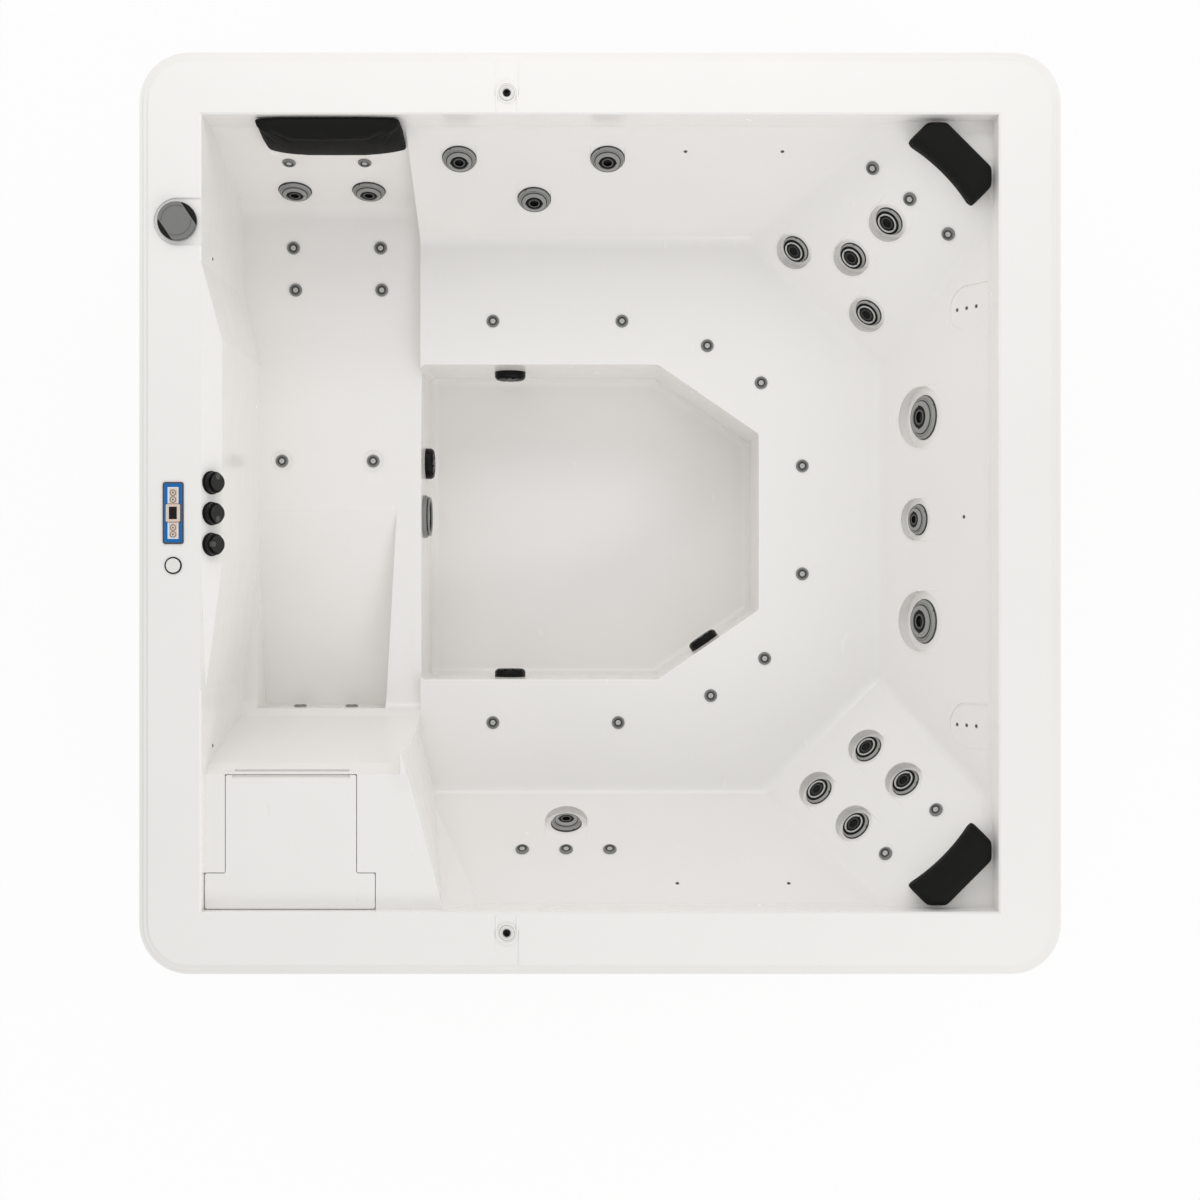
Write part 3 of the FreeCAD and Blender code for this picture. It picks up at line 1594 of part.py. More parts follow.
def pump_impeller(spot):
    """Impeller on the motor's shaft."""
    low = wet_end_wall + impeller_disc
    high = wet_end_wall + impeller_height
    disc = rod(impeller_diameter, low, low + impeller_disc)
    hub = rod(impeller_hub, low, high)
    half_vane = impeller_vane_thickness / 2
    vane = block(0, impeller_diameter / 2 - half_vane, -half_vane, half_vane, low, high)
    wheel = disc.fuse([hub] + ring_of(vane, impeller_vanes))
    return spot.set(Part.Compound([wheel.cut(rod(shaft_diameter + 2 * fit_gap, 0, high + overrun))]))


def heater_pack():
    """Control box and heater tube standing on the pan."""
    box = block(
        -pack_place - pack_width / 2,
        -pack_place + pack_width / 2,
        pack_front,
        pack_front + pack_length,
        pan_height,
        pan_height + pack_height,
    )
    radius = heater_diameter / 2
    start = Vector(-pack_place + pack_width / 2 + radius, pack_front, pan_height + radius)
    tube = Part.makeCylinder(radius, heater_length - heater_diameter, start, rear)
    return [box, tube]


def plumbing():
    """Suction runs from the footwell, risers, the pressure manifold and the drain pipe."""
    pipe = pipe_diameter / 2
    lines = []
    first = pump_front_places[0] - wet_end_length / 2
    last = pump_front_places[1] - wet_end_length / 2
    riser_low = pump_axis_height + pipe_rise
    manifold_start = Vector(-pump_place, last - manifold_end, manifold_height)
    manifold = Part.makeCylinder(pipe, first - last + 2 * manifold_end, manifold_start, rear)
    risers = []
    for y in pump_front_places:
        foot = Vector(-pump_place, y - wet_end_length / 2, riser_low)
        risers.append(Part.makeCylinder(pipe, manifold_height - riser_low, foot, up))
        mouth = Vector(-pump_place, y - wet_end_length - inlet_reach, pump_axis_height)
        stub = Part.makeCylinder(pipe, pipe_diameter, mouth, -rear)
        turn = mouth - rear * (pipe_diameter - pipe)
        rise = Part.makeCylinder(pipe, suction_run_height - pump_axis_height, turn, up)
        run_start = Vector(turn.x, turn.y, suction_run_height)
        run = Part.makeCylinder(pipe, pump_place - lounge_edge - shell_wall, run_start, right)
        joint = Part.makeSphere(pipe, run_start)
        lines.append(stub.fuse([rise, joint, run]))
    lines.append(manifold.fuse(risers))
    drain_start = Vector(-drain_place, -panel_face_y + drain_length, drain_height)
    drain_run = panel_face_y - drain_length - footwell_half_length - shell_wall
    lines.append(Part.makeCylinder(drain_barrel / 2, drain_run, drain_start, rear))
    return lines


def drain_valve():
    """Drain through the front panel, with a hose spigot."""
    barrel = drain_barrel / 2
    bore = drain_bore / 2
    flange = drain_flange / 2
    spigot = drain_spigot / 2
    return front_drain.set(turned([
        (bore, -drain_length),
        (barrel, -drain_length),
        (barrel, 0),
        (flange, 0),
        (flange, drain_flange_thickness),
        (spigot, drain_flange_thickness),
        (spigot, drain_spigot_length),
        (bore, drain_spigot_length),
    ]))


def drain_cap():
    """Ribbed cap over the drain's spigot."""
    inner = drain_spigot / 2 + fit_gap
    outer = inner + drain_cap_wall
    low = drain_flange_thickness + fit_gap
    roof = drain_spigot_length + fit_gap
    top = roof + drain_cap_wall
    cap = turned([(inner, low), (outer, low), (outer, top), (0, top), (0, roof), (inner, roof)])
    rib = rod(drain_cap_rib, low, top)
    rib.translate(right * outer)
    return front_drain.set(Part.Compound([cap.fuse(ring_of(rib, drain_cap_ribs))]))


# Every piece under its own name
pieces = {
    "acrylic_shell": [acrylic_shell()],
    "base_pan": [base_pan()],
    "timber_frame": timber_frame(),
    "panel_rear": [plank_panel(straight_x, panel_back_y, panel_face_y, pan_height, panel_head)],
    "panel_right": [turned_to(3, plank_panel(straight_y, panel_back_x, panel_face_x, pan_height, panel_head))],
    "access_panel": [access_panel()],
    "access_screws": [spot.set(access_screw()) for spot in screw_spots],
    "corner_trims": corner_trims(),
    "insulation_boards": insulation_boards(),
    "lounge_pillow": [lounge_pillow()],
    "rear_corner_pillow": [corner_pillow(1)],
    "front_corner_pillow": [corner_pillow(-1)],
    "jet_bodies": [jet.body() for jet in jets],
    "micro_jets": [spot.set(small_jet(small_jet_height)) for spot in small_jet_spots],
    "air_injectors": [spot.set(small_jet(injector_height)) for spot in injector_spots()],
    "led_pins": [spot.set(light_pin()) for spot in pin_spots],
    "suction_covers": [spot.set(suction_cover()) for spot in suction_spots],
    "footwell_light": [footwell_light()],
    "light_lens": [light_lens()],
    "fountain_nozzles": [spot.set(fountain_nozzle()) for spot in fountain_spots],
    "control_panel": [control_panel()],
    "control_display": [screen_box(fit_gap, panel_top, panel_top + screen_depth)],
    "control_bodies": [spot.set(knob_body()) for spot in knob_spots] + [diverter_body(), button_ring()],
    "air_knob_1": [air_knob(knob_spots[0], 1, 0)],
    "air_knob_2": [air_knob(knob_spots[1], -1, 0)],
    "air_knob_3": [air_knob(knob_spots[2], 0, 1)],
    "diverter_knob": [diverter_knob()],
    "aux_button": [aux_button()],
    "filter_lid": [filter_lid()],
    "filter_cartridges": filter_cartridges(),
    "pump_motors": [pump_motor(spot) for spot in pump_spots],
    "pump_wet_ends": [wet_end(spot) for spot in pump_spots],
    "heater_pack": heater_pack(),
    "plumbing": plumbing(),
    "drain_valve": [drain_valve()],
    "drain_cap": [drain_cap()],
}
front_panel = plank_panel(straight_x, panel_back_y, panel_face_y, pan_height, panel_head)
pieces["panel_front"] = [turned_to(2, front_panel).cut(front_holes())]
for number, jet in enumerate(jets, 1):
    pieces[f"jet_face_{number:02d}"] = [jet.face()]
for number, spot in enumerate(key_spots, 1):
    pieces[f"control_key_{number}"] = [control_key(spot)]
for number, spot in enumerate(pump_spots, 1):
    pieces[f"pump_impeller_{number}"] = [pump_impeller(spot)]

os.makedirs("parts", exist_ok=True)
for name, shapes in pieces.items():
    solids = [solid for shape in shapes for solid in shape.Solids]
    Part.Compound(solids).exportStep(f"parts/{name}.step")
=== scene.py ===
import json
import logging
import math
from contextlib import contextmanager
from dataclasses import dataclass
from enum import Enum
from functools import partialmethod
from typing import ClassVar, Iterator, Sequence

import bpy
import numpy as np
from mathutils import Matrix, Vector


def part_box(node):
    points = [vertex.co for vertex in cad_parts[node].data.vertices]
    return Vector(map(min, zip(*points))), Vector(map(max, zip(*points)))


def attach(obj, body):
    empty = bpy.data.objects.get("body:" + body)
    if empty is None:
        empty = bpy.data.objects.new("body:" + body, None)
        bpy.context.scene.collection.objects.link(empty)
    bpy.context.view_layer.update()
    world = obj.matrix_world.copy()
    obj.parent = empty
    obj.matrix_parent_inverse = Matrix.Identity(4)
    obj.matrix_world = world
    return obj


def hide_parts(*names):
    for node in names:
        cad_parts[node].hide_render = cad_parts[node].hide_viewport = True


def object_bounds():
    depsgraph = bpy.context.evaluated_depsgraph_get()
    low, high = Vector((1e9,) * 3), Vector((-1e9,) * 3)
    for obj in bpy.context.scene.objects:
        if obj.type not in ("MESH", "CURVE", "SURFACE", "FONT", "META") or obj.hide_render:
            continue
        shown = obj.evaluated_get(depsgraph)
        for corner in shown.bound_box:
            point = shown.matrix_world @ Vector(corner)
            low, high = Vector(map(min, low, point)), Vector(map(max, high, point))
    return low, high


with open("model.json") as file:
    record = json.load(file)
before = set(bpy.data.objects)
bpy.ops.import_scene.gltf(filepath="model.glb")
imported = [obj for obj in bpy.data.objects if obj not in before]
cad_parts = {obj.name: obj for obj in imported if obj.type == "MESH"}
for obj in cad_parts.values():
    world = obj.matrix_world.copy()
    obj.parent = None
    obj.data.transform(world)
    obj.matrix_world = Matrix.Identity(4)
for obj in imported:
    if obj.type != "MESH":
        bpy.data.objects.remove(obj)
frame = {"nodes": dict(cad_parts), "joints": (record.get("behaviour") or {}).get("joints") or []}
cad_low, cad_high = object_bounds()
log = logging.getLogger("hot_tub")

Piece = bpy.types.Object
Triple = tuple[float, float, float]
Colour = Triple
Profile = Sequence[tuple[float, float]]
MM = 0.001
MICRON_DIGITS = 6
FLANGE_SHARE = 0.98
ROOT = "tub"


def paint(red: int, green: int, blue: int) -> Colour:
    """Linear colour of a paint given as it looks on screen, from 0 to 255."""
    shares = (red / 255, green / 255, blue / 255)
    return tuple(s / 12.92 if s <= 0.04045 else ((s + 0.055) / 1.055) ** 2.4 for s in shares)


def toned(colour: Colour, share: float) -> Colour:
    """A colour made darker by a share below 1, or paler by one above it."""
    return tuple(channel * share for channel in colour)


class Field:
    """A shader socket whose value varies over a surface and can stand in plain sums."""

    def __init__(self, recipe: "Recipe", socket: bpy.types.NodeSocket) -> None:
        self.recipe = recipe
        self.socket = socket

    def _sum(self, operation: str, other: "Value" = 0) -> "Field":
        """Adds one Math node, with this value first, and gives its result."""
        return self.recipe.field("ShaderNodeMath", {0: self, 1: other}, operation=operation)

    def __rsub__(self, other: float) -> "Field":
        """Another value less this one."""
        return self.recipe.field("ShaderNodeMath", {0: other, 1: self}, operation="SUBTRACT")

    __add__ = __radd__ = partialmethod(_sum, "ADD")
    __sub__ = partialmethod(_sum, "SUBTRACT")
    __mul__ = __rmul__ = partialmethod(_sum, "MULTIPLY")
    __truediv__ = partialmethod(_sum, "DIVIDE")
    __abs__ = partialmethod(_sum, "ABSOLUTE")
    power = partialmethod(_sum, "POWER")
    larger = partialmethod(_sum, "MAXIMUM")
    # 1 where the comparison holds, and 0 elsewhere
    __gt__ = partialmethod(_sum, "GREATER_THAN")
    __lt__ = partialmethod(_sum, "LESS_THAN")
    # What is left after whole spans are taken away, the value rounded down, and its sine
    wrapped = partialmethod(_sum, "FLOORED_MODULO")
    whole = partialmethod(_sum, "FLOOR")
    wave = partialmethod(_sum, "SINE")


Value = Field | float


class Recipe:
    """The node tree of a material or a world, read in the piece's own coordinates."""

    def __init__(self, owner: bpy.types.Material | bpy.types.World) -> None:
        owner.use_nodes = True
        self.owner = owner
        self.tree = owner.node_tree
        self.tree.nodes.clear()
        self.place = self.field("ShaderNodeTexCoord", {}, "Object")

    def node(self, kind: str, sockets: dict, **settings: str) -> bpy.types.Node:
        """Adds a node.

        Args:
            kind: The node's type.
            sockets: Values or fields for its sockets, by name or number.
            settings: Its settings, which are set first.

        Returns:
            The new node.
        """
        made = self.tree.nodes.new(kind)
        for name, value in settings.items():
            setattr(made, name, value)
        for key, value in sockets.items():
            target = made.inputs[key]
            if isinstance(value, Field):
                self.tree.links.new(value.socket, target)
            elif target.type == "RGBA" and len(value) == 3:
                target.default_value = (*value, 1.0)
            else:
                target.default_value = value
        return made

    def field(self, kind: str, sockets: dict, output: int | str = 0, **settings: str) -> Field:
        """Adds a node and gives one of its outputs."""
        return Field(self, self.node(kind, sockets, **settings).outputs[output])

    def axes(self) -> tuple[Field, Field, Field]:
        """The three coordinates of a point on the piece."""
        split = self.node("ShaderNodeSeparateXYZ", {0: self.place})
        return tuple(Field(self, socket) for socket in split.outputs)

    def stretched(self, scale: Triple, vector: Field | None = None) -> Field:
        """Coordinates, the piece's own if no others are given, scaled along each axis."""
        return self.field("ShaderNodeMapping", {"Vector": vector or self.place, "Scale": scale})

    def noise(self, scale: float, detail: float = 3.0, vector: Field | None = None) -> Field:
        """Soft noise from 0 to 1, with this many blots a metre."""
        sockets = {"Vector": vector or self.place, "Scale": scale, "Detail": detail}
        return self.field("ShaderNodeTexNoise", sockets)

    def cells(self, scale: float) -> Field:
        """Distance to the nearest of many scattered points."""
        return self.field("ShaderNodeTexVoronoi", {"Vector": self.place, "Scale": scale}, "Distance")

    def mixed(self, share: Value, first: Field | Colour, second: Field | Colour) -> Field:
        """Colour between two others."""
        return self.field("ShaderNodeMix", {0: share, 6: first, 7: second}, 2, data_type="RGBA")

    def bump(self, height: Field, depth: float) -> Field:
        """Normal of a surface that rises by this depth where the height goes from 0 to 1."""
        return self.field("ShaderNodeBump", {"Height": height, "Distance": depth, "Strength": 1.0})

    def finish(self, sockets: dict) -> bpy.types.Material:
        """Closes a material with one surface shader."""
        self.node("ShaderNodeOutputMaterial", {0: self.field("ShaderNodeBsdfPrincipled", sockets)})
        return self.owner


@dataclass(frozen=True)
class Finish:
    """A surface finish, named for the record's slot that it follows."""

    slot: str
    made: ClassVar[dict[str, bpy.types.Material]] = {}

    def material(self) -> bpy.types.Material:
        """The finish as a material, made once."""
        key = repr(self)
        if key not in self.made:
            self.made[key] = self.recipe(Recipe(bpy.data.materials.new(f"{self.slot}_finish")))
        return self.made[key]

    def recipe(self, mix: Recipe) -> bpy.types.Material:
        """Fills the material's node tree."""
        raise NotImplementedError

    def coat(self, *pieces: Piece) -> None:
        """Puts the finish on pieces."""
        for piece in pieces:
            piece.data.materials.clear()
            piece.data.materials.append(self.material())


@dataclass(frozen=True)
class CastAcrylic(Finish):
    """Glossy cast sheet: nearly even in tone, faintly rippled, with fine rubbing marks."""

    colour: Colour
    roughness: float = 0.2
    rubbing: Triple = (30.0, 9.0, 30.0)
    relief: float = 0.03 * MM

    def recipe(self, mix: Recipe) -> bpy.types.Material:
        """Faint mottle, rubbing marks in the gloss and a ripple too shallow to see face on."""
        mottle = mix.noise(5.0, detail=2.0)
        rubbed = mix.noise(1.0, detail=4.0, vector=mix.stretched(self.rubbing))
        ripple = mix.noise(160.0, detail=1.0)
        shaded = toned(self.colour, 0.975)
        return mix.finish({
            "Base Color": mix.mixed(mottle, shaded, self.colour),
            "Roughness": self.roughness + 0.1 * rubbed,
            "Coat Weight": 0.25,
            "Coat Roughness": 0.12,
            "Normal": mix.bump(ripple, self.relief),
        })


@dataclass(frozen=True)
class Moulded(Finish):
    """Moulded plastic with a fine grain, slight clouding and worn patches of gloss."""

    colour: Colour
    roughness: float = 0.35
    grain: float = 1800.0
    relief: float = 0.02 * MM
    clouding: float = 0.12
    sheen: float = 0.5

    def recipe(self, mix: Recipe) -> bpy.types.Material:
        """Clouded colour, worn gloss and a moulded grain."""
        cloud = mix.noise(35.0, detail=4.0)
        worn = mix.noise(90.0, detail=5.0)
        deep = toned(self.colour, 1 - self.clouding)
        return mix.finish({
            "Base Color": mix.mixed(cloud, deep, self.colour),
            "Roughness": self.roughness - 0.08 + 0.16 * worn,
            "Specular IOR Level": self.sheen,
            "Normal": mix.bump(mix.noise(self.grain, detail=2.0), self.relief),
        })


@dataclass(frozen=True)
class FoamSkin(Finish):
    """Matt skin of a closed-cell foam pillow, finely pored."""

    colour: Colour
    relief: float = 0.3 * MM

    def recipe(self, mix: Recipe) -> bpy.types.Material:
        """Pores, a leathery grain and paler rubbed patches."""
        pores = mix.cells(620.0)
        creased = mix.noise(190.0, detail=5.0)
        rubbed = mix.noise(14.0, detail=3.0)
        pale = toned(self.colour, 1.4)
        return mix.finish({
            "Base Color": mix.mixed(rubbed, self.colour, pale),
            "Roughness": 0.56 + 0.22 * creased,
            "Specular IOR Level": 0.1,
            "Normal": mix.bump(pores * 0.6 + creased * 0.5, self.relief),
        })


@dataclass(frozen=True)
class Planks(Finish):
    """Composite boards with a long grain, each board a little different from its neighbours."""

    colour: Colour
    dark: Colour
    foot: float
    pitch: float
    upright: bool = False
    relief: float = 0.8 * MM

    def recipe(self, mix: Recipe) -> bpy.types.Material:
        """Board tones by height, grain along the boards, darker joints and a sawn texture."""
        x, y, z = mix.axes()
        along = (70.0, 70.0, 3.0) if self.upright else (2.2, 2.2, 95.0)
        board = ((z - self.foot) / self.pitch).whole()
        tone = (board * 2.399).wave() * 0.5 + 0.5
        shifted = mix.field("ShaderNodeCombineXYZ", {0: x + board * 0.37, 1: y + board * 0.61, 2: z})
        lane = mix.stretched(along, shifted)
        grain = mix.noise(1.0, detail=6.0, vector=lane)
        fibres = mix.noise(6.0, detail=3.0, vector=lane)
        streak = mix.field("ShaderNodeClamp", {0: grain * 1.5 + fibres * 0.5 - 0.45 + tone * 0.25})
        edge = abs(((z - self.foot) / self.pitch).wrapped(1.0) - 0.5) * 2
        joint = edge.power(40.0)
        wood = mix.mixed(streak, self.dark, self.colour)
        shade = toned(self.dark, 0.35)
        return mix.finish({
            "Base Color": mix.mixed(joint * 0.7, wood, shade),
            "Roughness": 0.5 + 0.2 * fibres,
            "Normal": mix.bump(grain * 0.6 + fibres * 0.4, self.relief),
        })


@dataclass(frozen=True)
class PanelFilm(Finish):
    """Printed film on the control panel: a dark border, a dotted ground and pale plates for the keys."""

    border: Colour
    ground: Colour
    dots: Colour
    line: Colour
    plate: Colour
    middle: Vector
    half_breadth: float
    half_length: float
    frame_half_breadth: float
    frame_half_length: float
    frame_foot: float
    dot_pitch: float = 4.0 * MM
    dot_radius: float = 0.8 * MM
    outline: float = 1.3 * MM
    plate_shares: tuple[float, float] = (0.42, 0.8)
    line_shares: tuple[float, float] = (0.52, 0.835)
    edge_shares: tuple[float, float] = (0.87, 0.955)
    relief: float = 0.01 * MM

    def recipe(self, mix: Recipe) -> bpy.types.Material:
        """Places each print by its distance from the panel's middle."""
        x, y, z = mix.axes()
        from_x, from_y = x - self.middle.x, y - self.middle.y
        across, along = abs(from_x), abs(from_y)
        dot_x = from_x.wrapped(self.dot_pitch) - self.dot_pitch / 2
        dot_y = from_y.wrapped(self.dot_pitch) - self.dot_pitch / 2
        dot = (dot_x * dot_x + dot_y * dot_y) < self.dot_radius ** 2
        plate, line = (
            (across < share_across * self.half_breadth) * (along < share_along * self.half_length)
            for share_across, share_along in (self.plate_shares, self.line_shares)
        )
        share_across, share_along = self.edge_shares
        edge = (across > share_across * self.half_breadth).larger(along > share_along * self.half_length)
        beside_frame = across < self.frame_half_breadth + self.outline
        surround = beside_frame * (along < self.frame_half_length + self.outline)
        face = mix.mixed(dot, self.ground, self.dots)
        for mask, colour in (
            (line, self.line),
            (plate, self.plate),
            (edge, self.border),
            (surround, self.border),
            (z > self.frame_foot, self.plate),
        ):
            face = mix.mixed(mask, face, colour)
        return mix.finish({
            "Base Color": face,
            "Roughness": 0.3 + 0.12 * mix.noise(120.0, detail=3.0),
            "Specular IOR Level": 0.3,
            "Normal": mix.bump(mix.noise(2200.0, detail=1.0), self.relief),
            "Coat Weight": 0.1,
        })


@dataclass(frozen=True)
class TwoLevel(Finish):
    """Plastic knob with a bar across it, whose sunken parts beside the bar are in a darker plastic."""

    colour: Colour
    sunken: Colour
    height: float
    middle: Vector
    side: Vector
    reach: float
    relief: float = 0.02 * MM

    def recipe(self, mix: Recipe) -> bpy.types.Material:
        """Two tones that meet at the edges of the bar, with a satin grain."""
        x, y, z = mix.axes()
        across = abs((x - self.middle.x) * self.side.x + (y - self.middle.y) * self.side.y)
        sunk = (z < self.height) * (across > self.reach)
        cloud = mix.noise(60.0, detail=4.0)
        deep = toned(self.colour, 0.88)
        face = mix.mixed(cloud, deep, self.colour)
        return mix.finish({
            "Base Color": mix.mixed(sunk, face, self.sunken),
            "Roughness": 0.34 + 0.14 * mix.noise(140.0, detail=3.0),
            "Specular IOR Level": 0.2,
            "Normal": mix.bump(mix.noise(1500.0, detail=2.0), self.relief),
        })


@dataclass(frozen=True)
class ClearLens(Finish):
    """Clear ribbed lens."""

    colour: Colour
    middle: Vector
    relief: float = 0.2 * MM

    def recipe(self, mix: Recipe) -> bpy.types.Material:
        """Clear plastic with fine rings about the lens's middle."""
        _, y, z = mix.axes()
        away = ((y - self.middle.y).power(2.0) + (z - self.middle.z).power(2.0)).power(0.5)
        rings = (away * 1400.0).wave() * 0.5 + 0.5
        return mix.finish({
            "Base Color": mix.mixed(rings, toned(self.colour, 0.9), self.colour),
            "Roughness": 0.12 + 0.1 * mix.noise(80.0, detail=2.0),
            "Normal": mix.bump(rings, self.relief),
            "Transmission Weight": 0.55,
            "IOR": 1.49,
        })


@dataclass(frozen=True)
class BrushedMetal(Finish):
    """Metal with fine brush lines along one axis."""

    colour: Colour
    stretch: Triple = (40.0, 900.0, 900.0)
    relief: float = 0.04 * MM

    def recipe(self, mix: Recipe) -> bpy.types.Material:
        """Brush lines in the gloss and the normal, with clouded tone."""
        lines = mix.noise(1.0, detail=4.0, vector=mix.stretched(self.stretch))
        dull = toned(self.colour, 0.8)
        return mix.finish({
            "Base Color": mix.mixed(mix.noise(20.0, detail=3.0), dull, self.colour),
            "Metallic": 1.0,
            "Roughness": 0.24 + 0.2 * lines,
            "Normal": mix.bump(lines, self.relief),
        })


@dataclass(frozen=True)
class FilterCloth(Finish):
    """Woven polyester of a filter cartridge, with uneven grime."""

    colour: Colour
    threads: float = 4200.0
    relief: float = 0.2 * MM

    def recipe(self, mix: Recipe) -> bpy.types.Material:
        """A fine square weave and uneven grime."""
        x, y, z = mix.axes()
        weave = ((x + y) * self.threads).wave() * (z * self.threads).wave() * 0.5 + 0.5
        grime = mix.noise(25.0, detail=5.0)
        stained = toned(self.colour, 0.8)
        return mix.finish({
            "Base Color": mix.mixed(grime, self.colour, stained),
            "Roughness": 0.82 + 0.1 * grime,
            "Normal": mix.bump(weave, self.relief),
        })


@dataclass(frozen=True)
class BeadFoam(Finish):
    """Board of pressed foam beads."""

    colour: Colour
    relief: float = 0.6 * MM

    def recipe(self, mix: Recipe) -> bpy.types.Material:
        """Bead outlines in the tone and the relief."""
        beads = mix.cells(260.0)
        return mix.finish({
            "Base Color": mix.mixed(beads, self.colour, toned(self.colour, 0.82)),
            "Roughness": 0.78 + 0.15 * beads,
            "Normal": mix.bump(1 - beads, self.relief),
        })


@dataclass(frozen=True)
class Place:
    """A point on the tub and the way out of the wall that it lies on."""

    point: Vector
    out: Vector

    def matrix(self) -> Matrix:
        """Matrix that carries a piece from the origin, with +Z out, to this place."""
        turn = self.out.to_track_quat("Z", "Y").to_matrix().to_4x4()
        return Matrix.Translation(self.point) @ turn

    def along(self, points: np.ndarray) -> tuple[np.ndarray, np.ndarray]:
        """How far points lie out along the axis, and how far from it.

        Args:
            points: Rows of coordinates.

        Returns:
            The distances along the axis and the distances from it.
        """
        axis = np.array(self.out)
        offset = points - np.array(self.point)
        height = offset @ axis
        return height, np.linalg.norm(offset - np.outer(height, axis), axis=1)


class Bench:
    """The modelling bench: each method is a short run of operators on one piece."""

    @staticmethod
    def clear() -> None:
        """Leaves edit mode and deselects everything."""
        if bpy.context.object and bpy.context.object.mode != "OBJECT":
            bpy.ops.object.mode_set(mode="OBJECT")
        bpy.ops.object.select_all(action="DESELECT")

    @staticmethod
    def pick(*pieces: Piece) -> Piece:
        """Selects pieces, makes the first active and gives it back."""
        Bench.clear()
        for piece in pieces:
            piece.select_set(True)
        bpy.context.view_layer.objects.active = pieces[0]
        return pieces[0]

    @staticmethod
    @contextmanager
    def editing(piece: Piece) -> Iterator[None]:
        """Edit mode on one piece, with all of it selected."""
        Bench.pick(piece)
        bpy.ops.object.mode_set(mode="EDIT")
        bpy.ops.mesh.select_all(action="SELECT")
        yield
        bpy.ops.object.mode_set(mode="OBJECT")

    @staticmethod
    def open_edges() -> None:
        """Selects the open edges of the piece in edit mode, and nothing else."""
        bpy.ops.mesh.select_all(action="DESELECT")
        bpy.ops.mesh.select_non_manifold()

    @staticmethod
    def faced_out() -> None:
        """Turns every face of the piece in edit mode outwards."""
        bpy.ops.mesh.select_all(action="SELECT")
        bpy.ops.mesh.normals_make_consistent(inside=False)

    @staticmethod
    def turned(name: str, profile: Profile, sides: int = 64, capped: bool = False) -> Piece:
        """Turns a profile about Z by drawing a circle out from ring to ring.

        Args:
            name: Name of the piece.
            profile: Rings as radius and height, in millimetres, from the foot outwards and over the top.
            sides: Sides of each ring.
            capped: True for a solid top and foot, and False for a ring with an open middle.

        Returns:
            The piece, smooth, at the origin.
        """
        Bench.clear()
        rings = [(radius * MM, height * MM) for radius, height in profile]
        radius, height = rings[0]
        bpy.ops.mesh.primitive_circle_add(vertices=sides, radius=radius, location=(0, 0, height))
        piece = bpy.context.object
        piece.name = name
        bpy.ops.object.transform_apply(location=True, rotation=True, scale=True)
        with Bench.editing(piece):
            for next_radius, next_height in rings[1:]:
                rise = (0, 0, next_height - height)
                bpy.ops.mesh.extrude_region_move(TRANSFORM_OT_translate={"value": rise})
                share = next_radius / radius
                bpy.ops.transform.resize(value=(share, share, 1), center_override=(0, 0, next_height))
                radius, height = next_radius, next_height
            Bench.open_edges()
            if capped:
                bpy.ops.mesh.fill_holes(sides=0)
            else:
                bpy.ops.mesh.bridge_edge_loops()
            Bench.faced_out()
        Bench.smoothed(piece)
        return piece

    @staticmethod
    def band(name: str, outer: float, inner: float, low: float, high: float, sides: int = 64) -> Piece:
        """Makes a plain ring between two radii and two heights, in millimetres."""
        return Bench.turned(name, [(outer, low), (outer, high), (inner, high), (inner, low)], sides)

    @staticmethod
    def hoop(name: str, radius: float, run: float, bead: float, sink: float) -> Piece:
        """Makes a U-shaped bead: half a ring, and two legs that run up from it and sink as they go.

        Args:
            name: Name of the piece.
            radius: Radius of the half ring, in millimetres.
            run: Length of the legs, in millimetres.
            bead: Radius of the bead itself, in millimetres.
            sink: How far the legs have sunk at their ends, in millimetres.

        Returns:
            The piece, smooth, at the origin, with its legs along +Y.
        """
        Bench.clear()
        bpy.ops.mesh.primitive_torus_add(
            major_radius=radius * MM, minor_radius=bead * MM, major_segments=72, minor_segments=12,
        )
        piece = bpy.context.object
        piece.name = name
        with Bench.editing(piece):
            bpy.ops.mesh.bisect(plane_co=(0, 0, 0), plane_no=(0, 1, 0), clear_outer=True)
            Bench.open_edges()
            bpy.ops.mesh.extrude_region_move(TRANSFORM_OT_translate={"value": (0, run * MM, -sink * MM)})
            Bench.open_edges()
            bpy.ops.mesh.fill_holes(sides=0)
            Bench.faced_out()
        Bench.smoothed(piece)
        return piece

    @staticmethod
    def smoothed(piece: Piece, degrees: float = 40.0) -> None:
        """Shades a piece smooth across its shallow edges."""
        Bench.pick(piece)
        bpy.ops.object.shade_smooth_by_angle(angle=math.radians(degrees))

    @staticmethod
    def applied(piece: Piece, kind: str, settings: dict) -> None:
        """Adds a modifier with these settings and applies it."""
        Bench.pick(piece)
        modifier = piece.modifiers.new(kind.lower(), kind)
        for name, value in settings.items():
            setattr(modifier, name, value)
        bpy.ops.object.modifier_apply(modifier=modifier.name)

    @staticmethod
    def rounded(piece: Piece, width: float) -> None:
        """Rounds a piece's sharp edges by a width in millimetres."""
        Bench.applied(piece, "BEVEL", {"width": width * MM, "segments": 3, "limit_method": "ANGLE"})
        Bench.smoothed(piece)

    @staticmethod
    def carried(piece: Piece, name: str, matrix: Matrix) -> Piece:
        """Names a piece, carries its mesh by a matrix and leaves it unturned at the origin."""
        Bench.pick(piece)
        piece.name = name
        piece.matrix_world = matrix
        bpy.ops.object.transform_apply(location=True, rotation=True, scale=True)
        return piece

    @staticmethod
    def copied(piece: Piece, name: str, matrix: Matrix) -> Piece:
        """Copy of a piece, with its own mesh, carried by a matrix."""
        Bench.pick(piece)
        bpy.ops.object.duplicate()
        return Bench.carried(bpy.context.object, name, matrix)

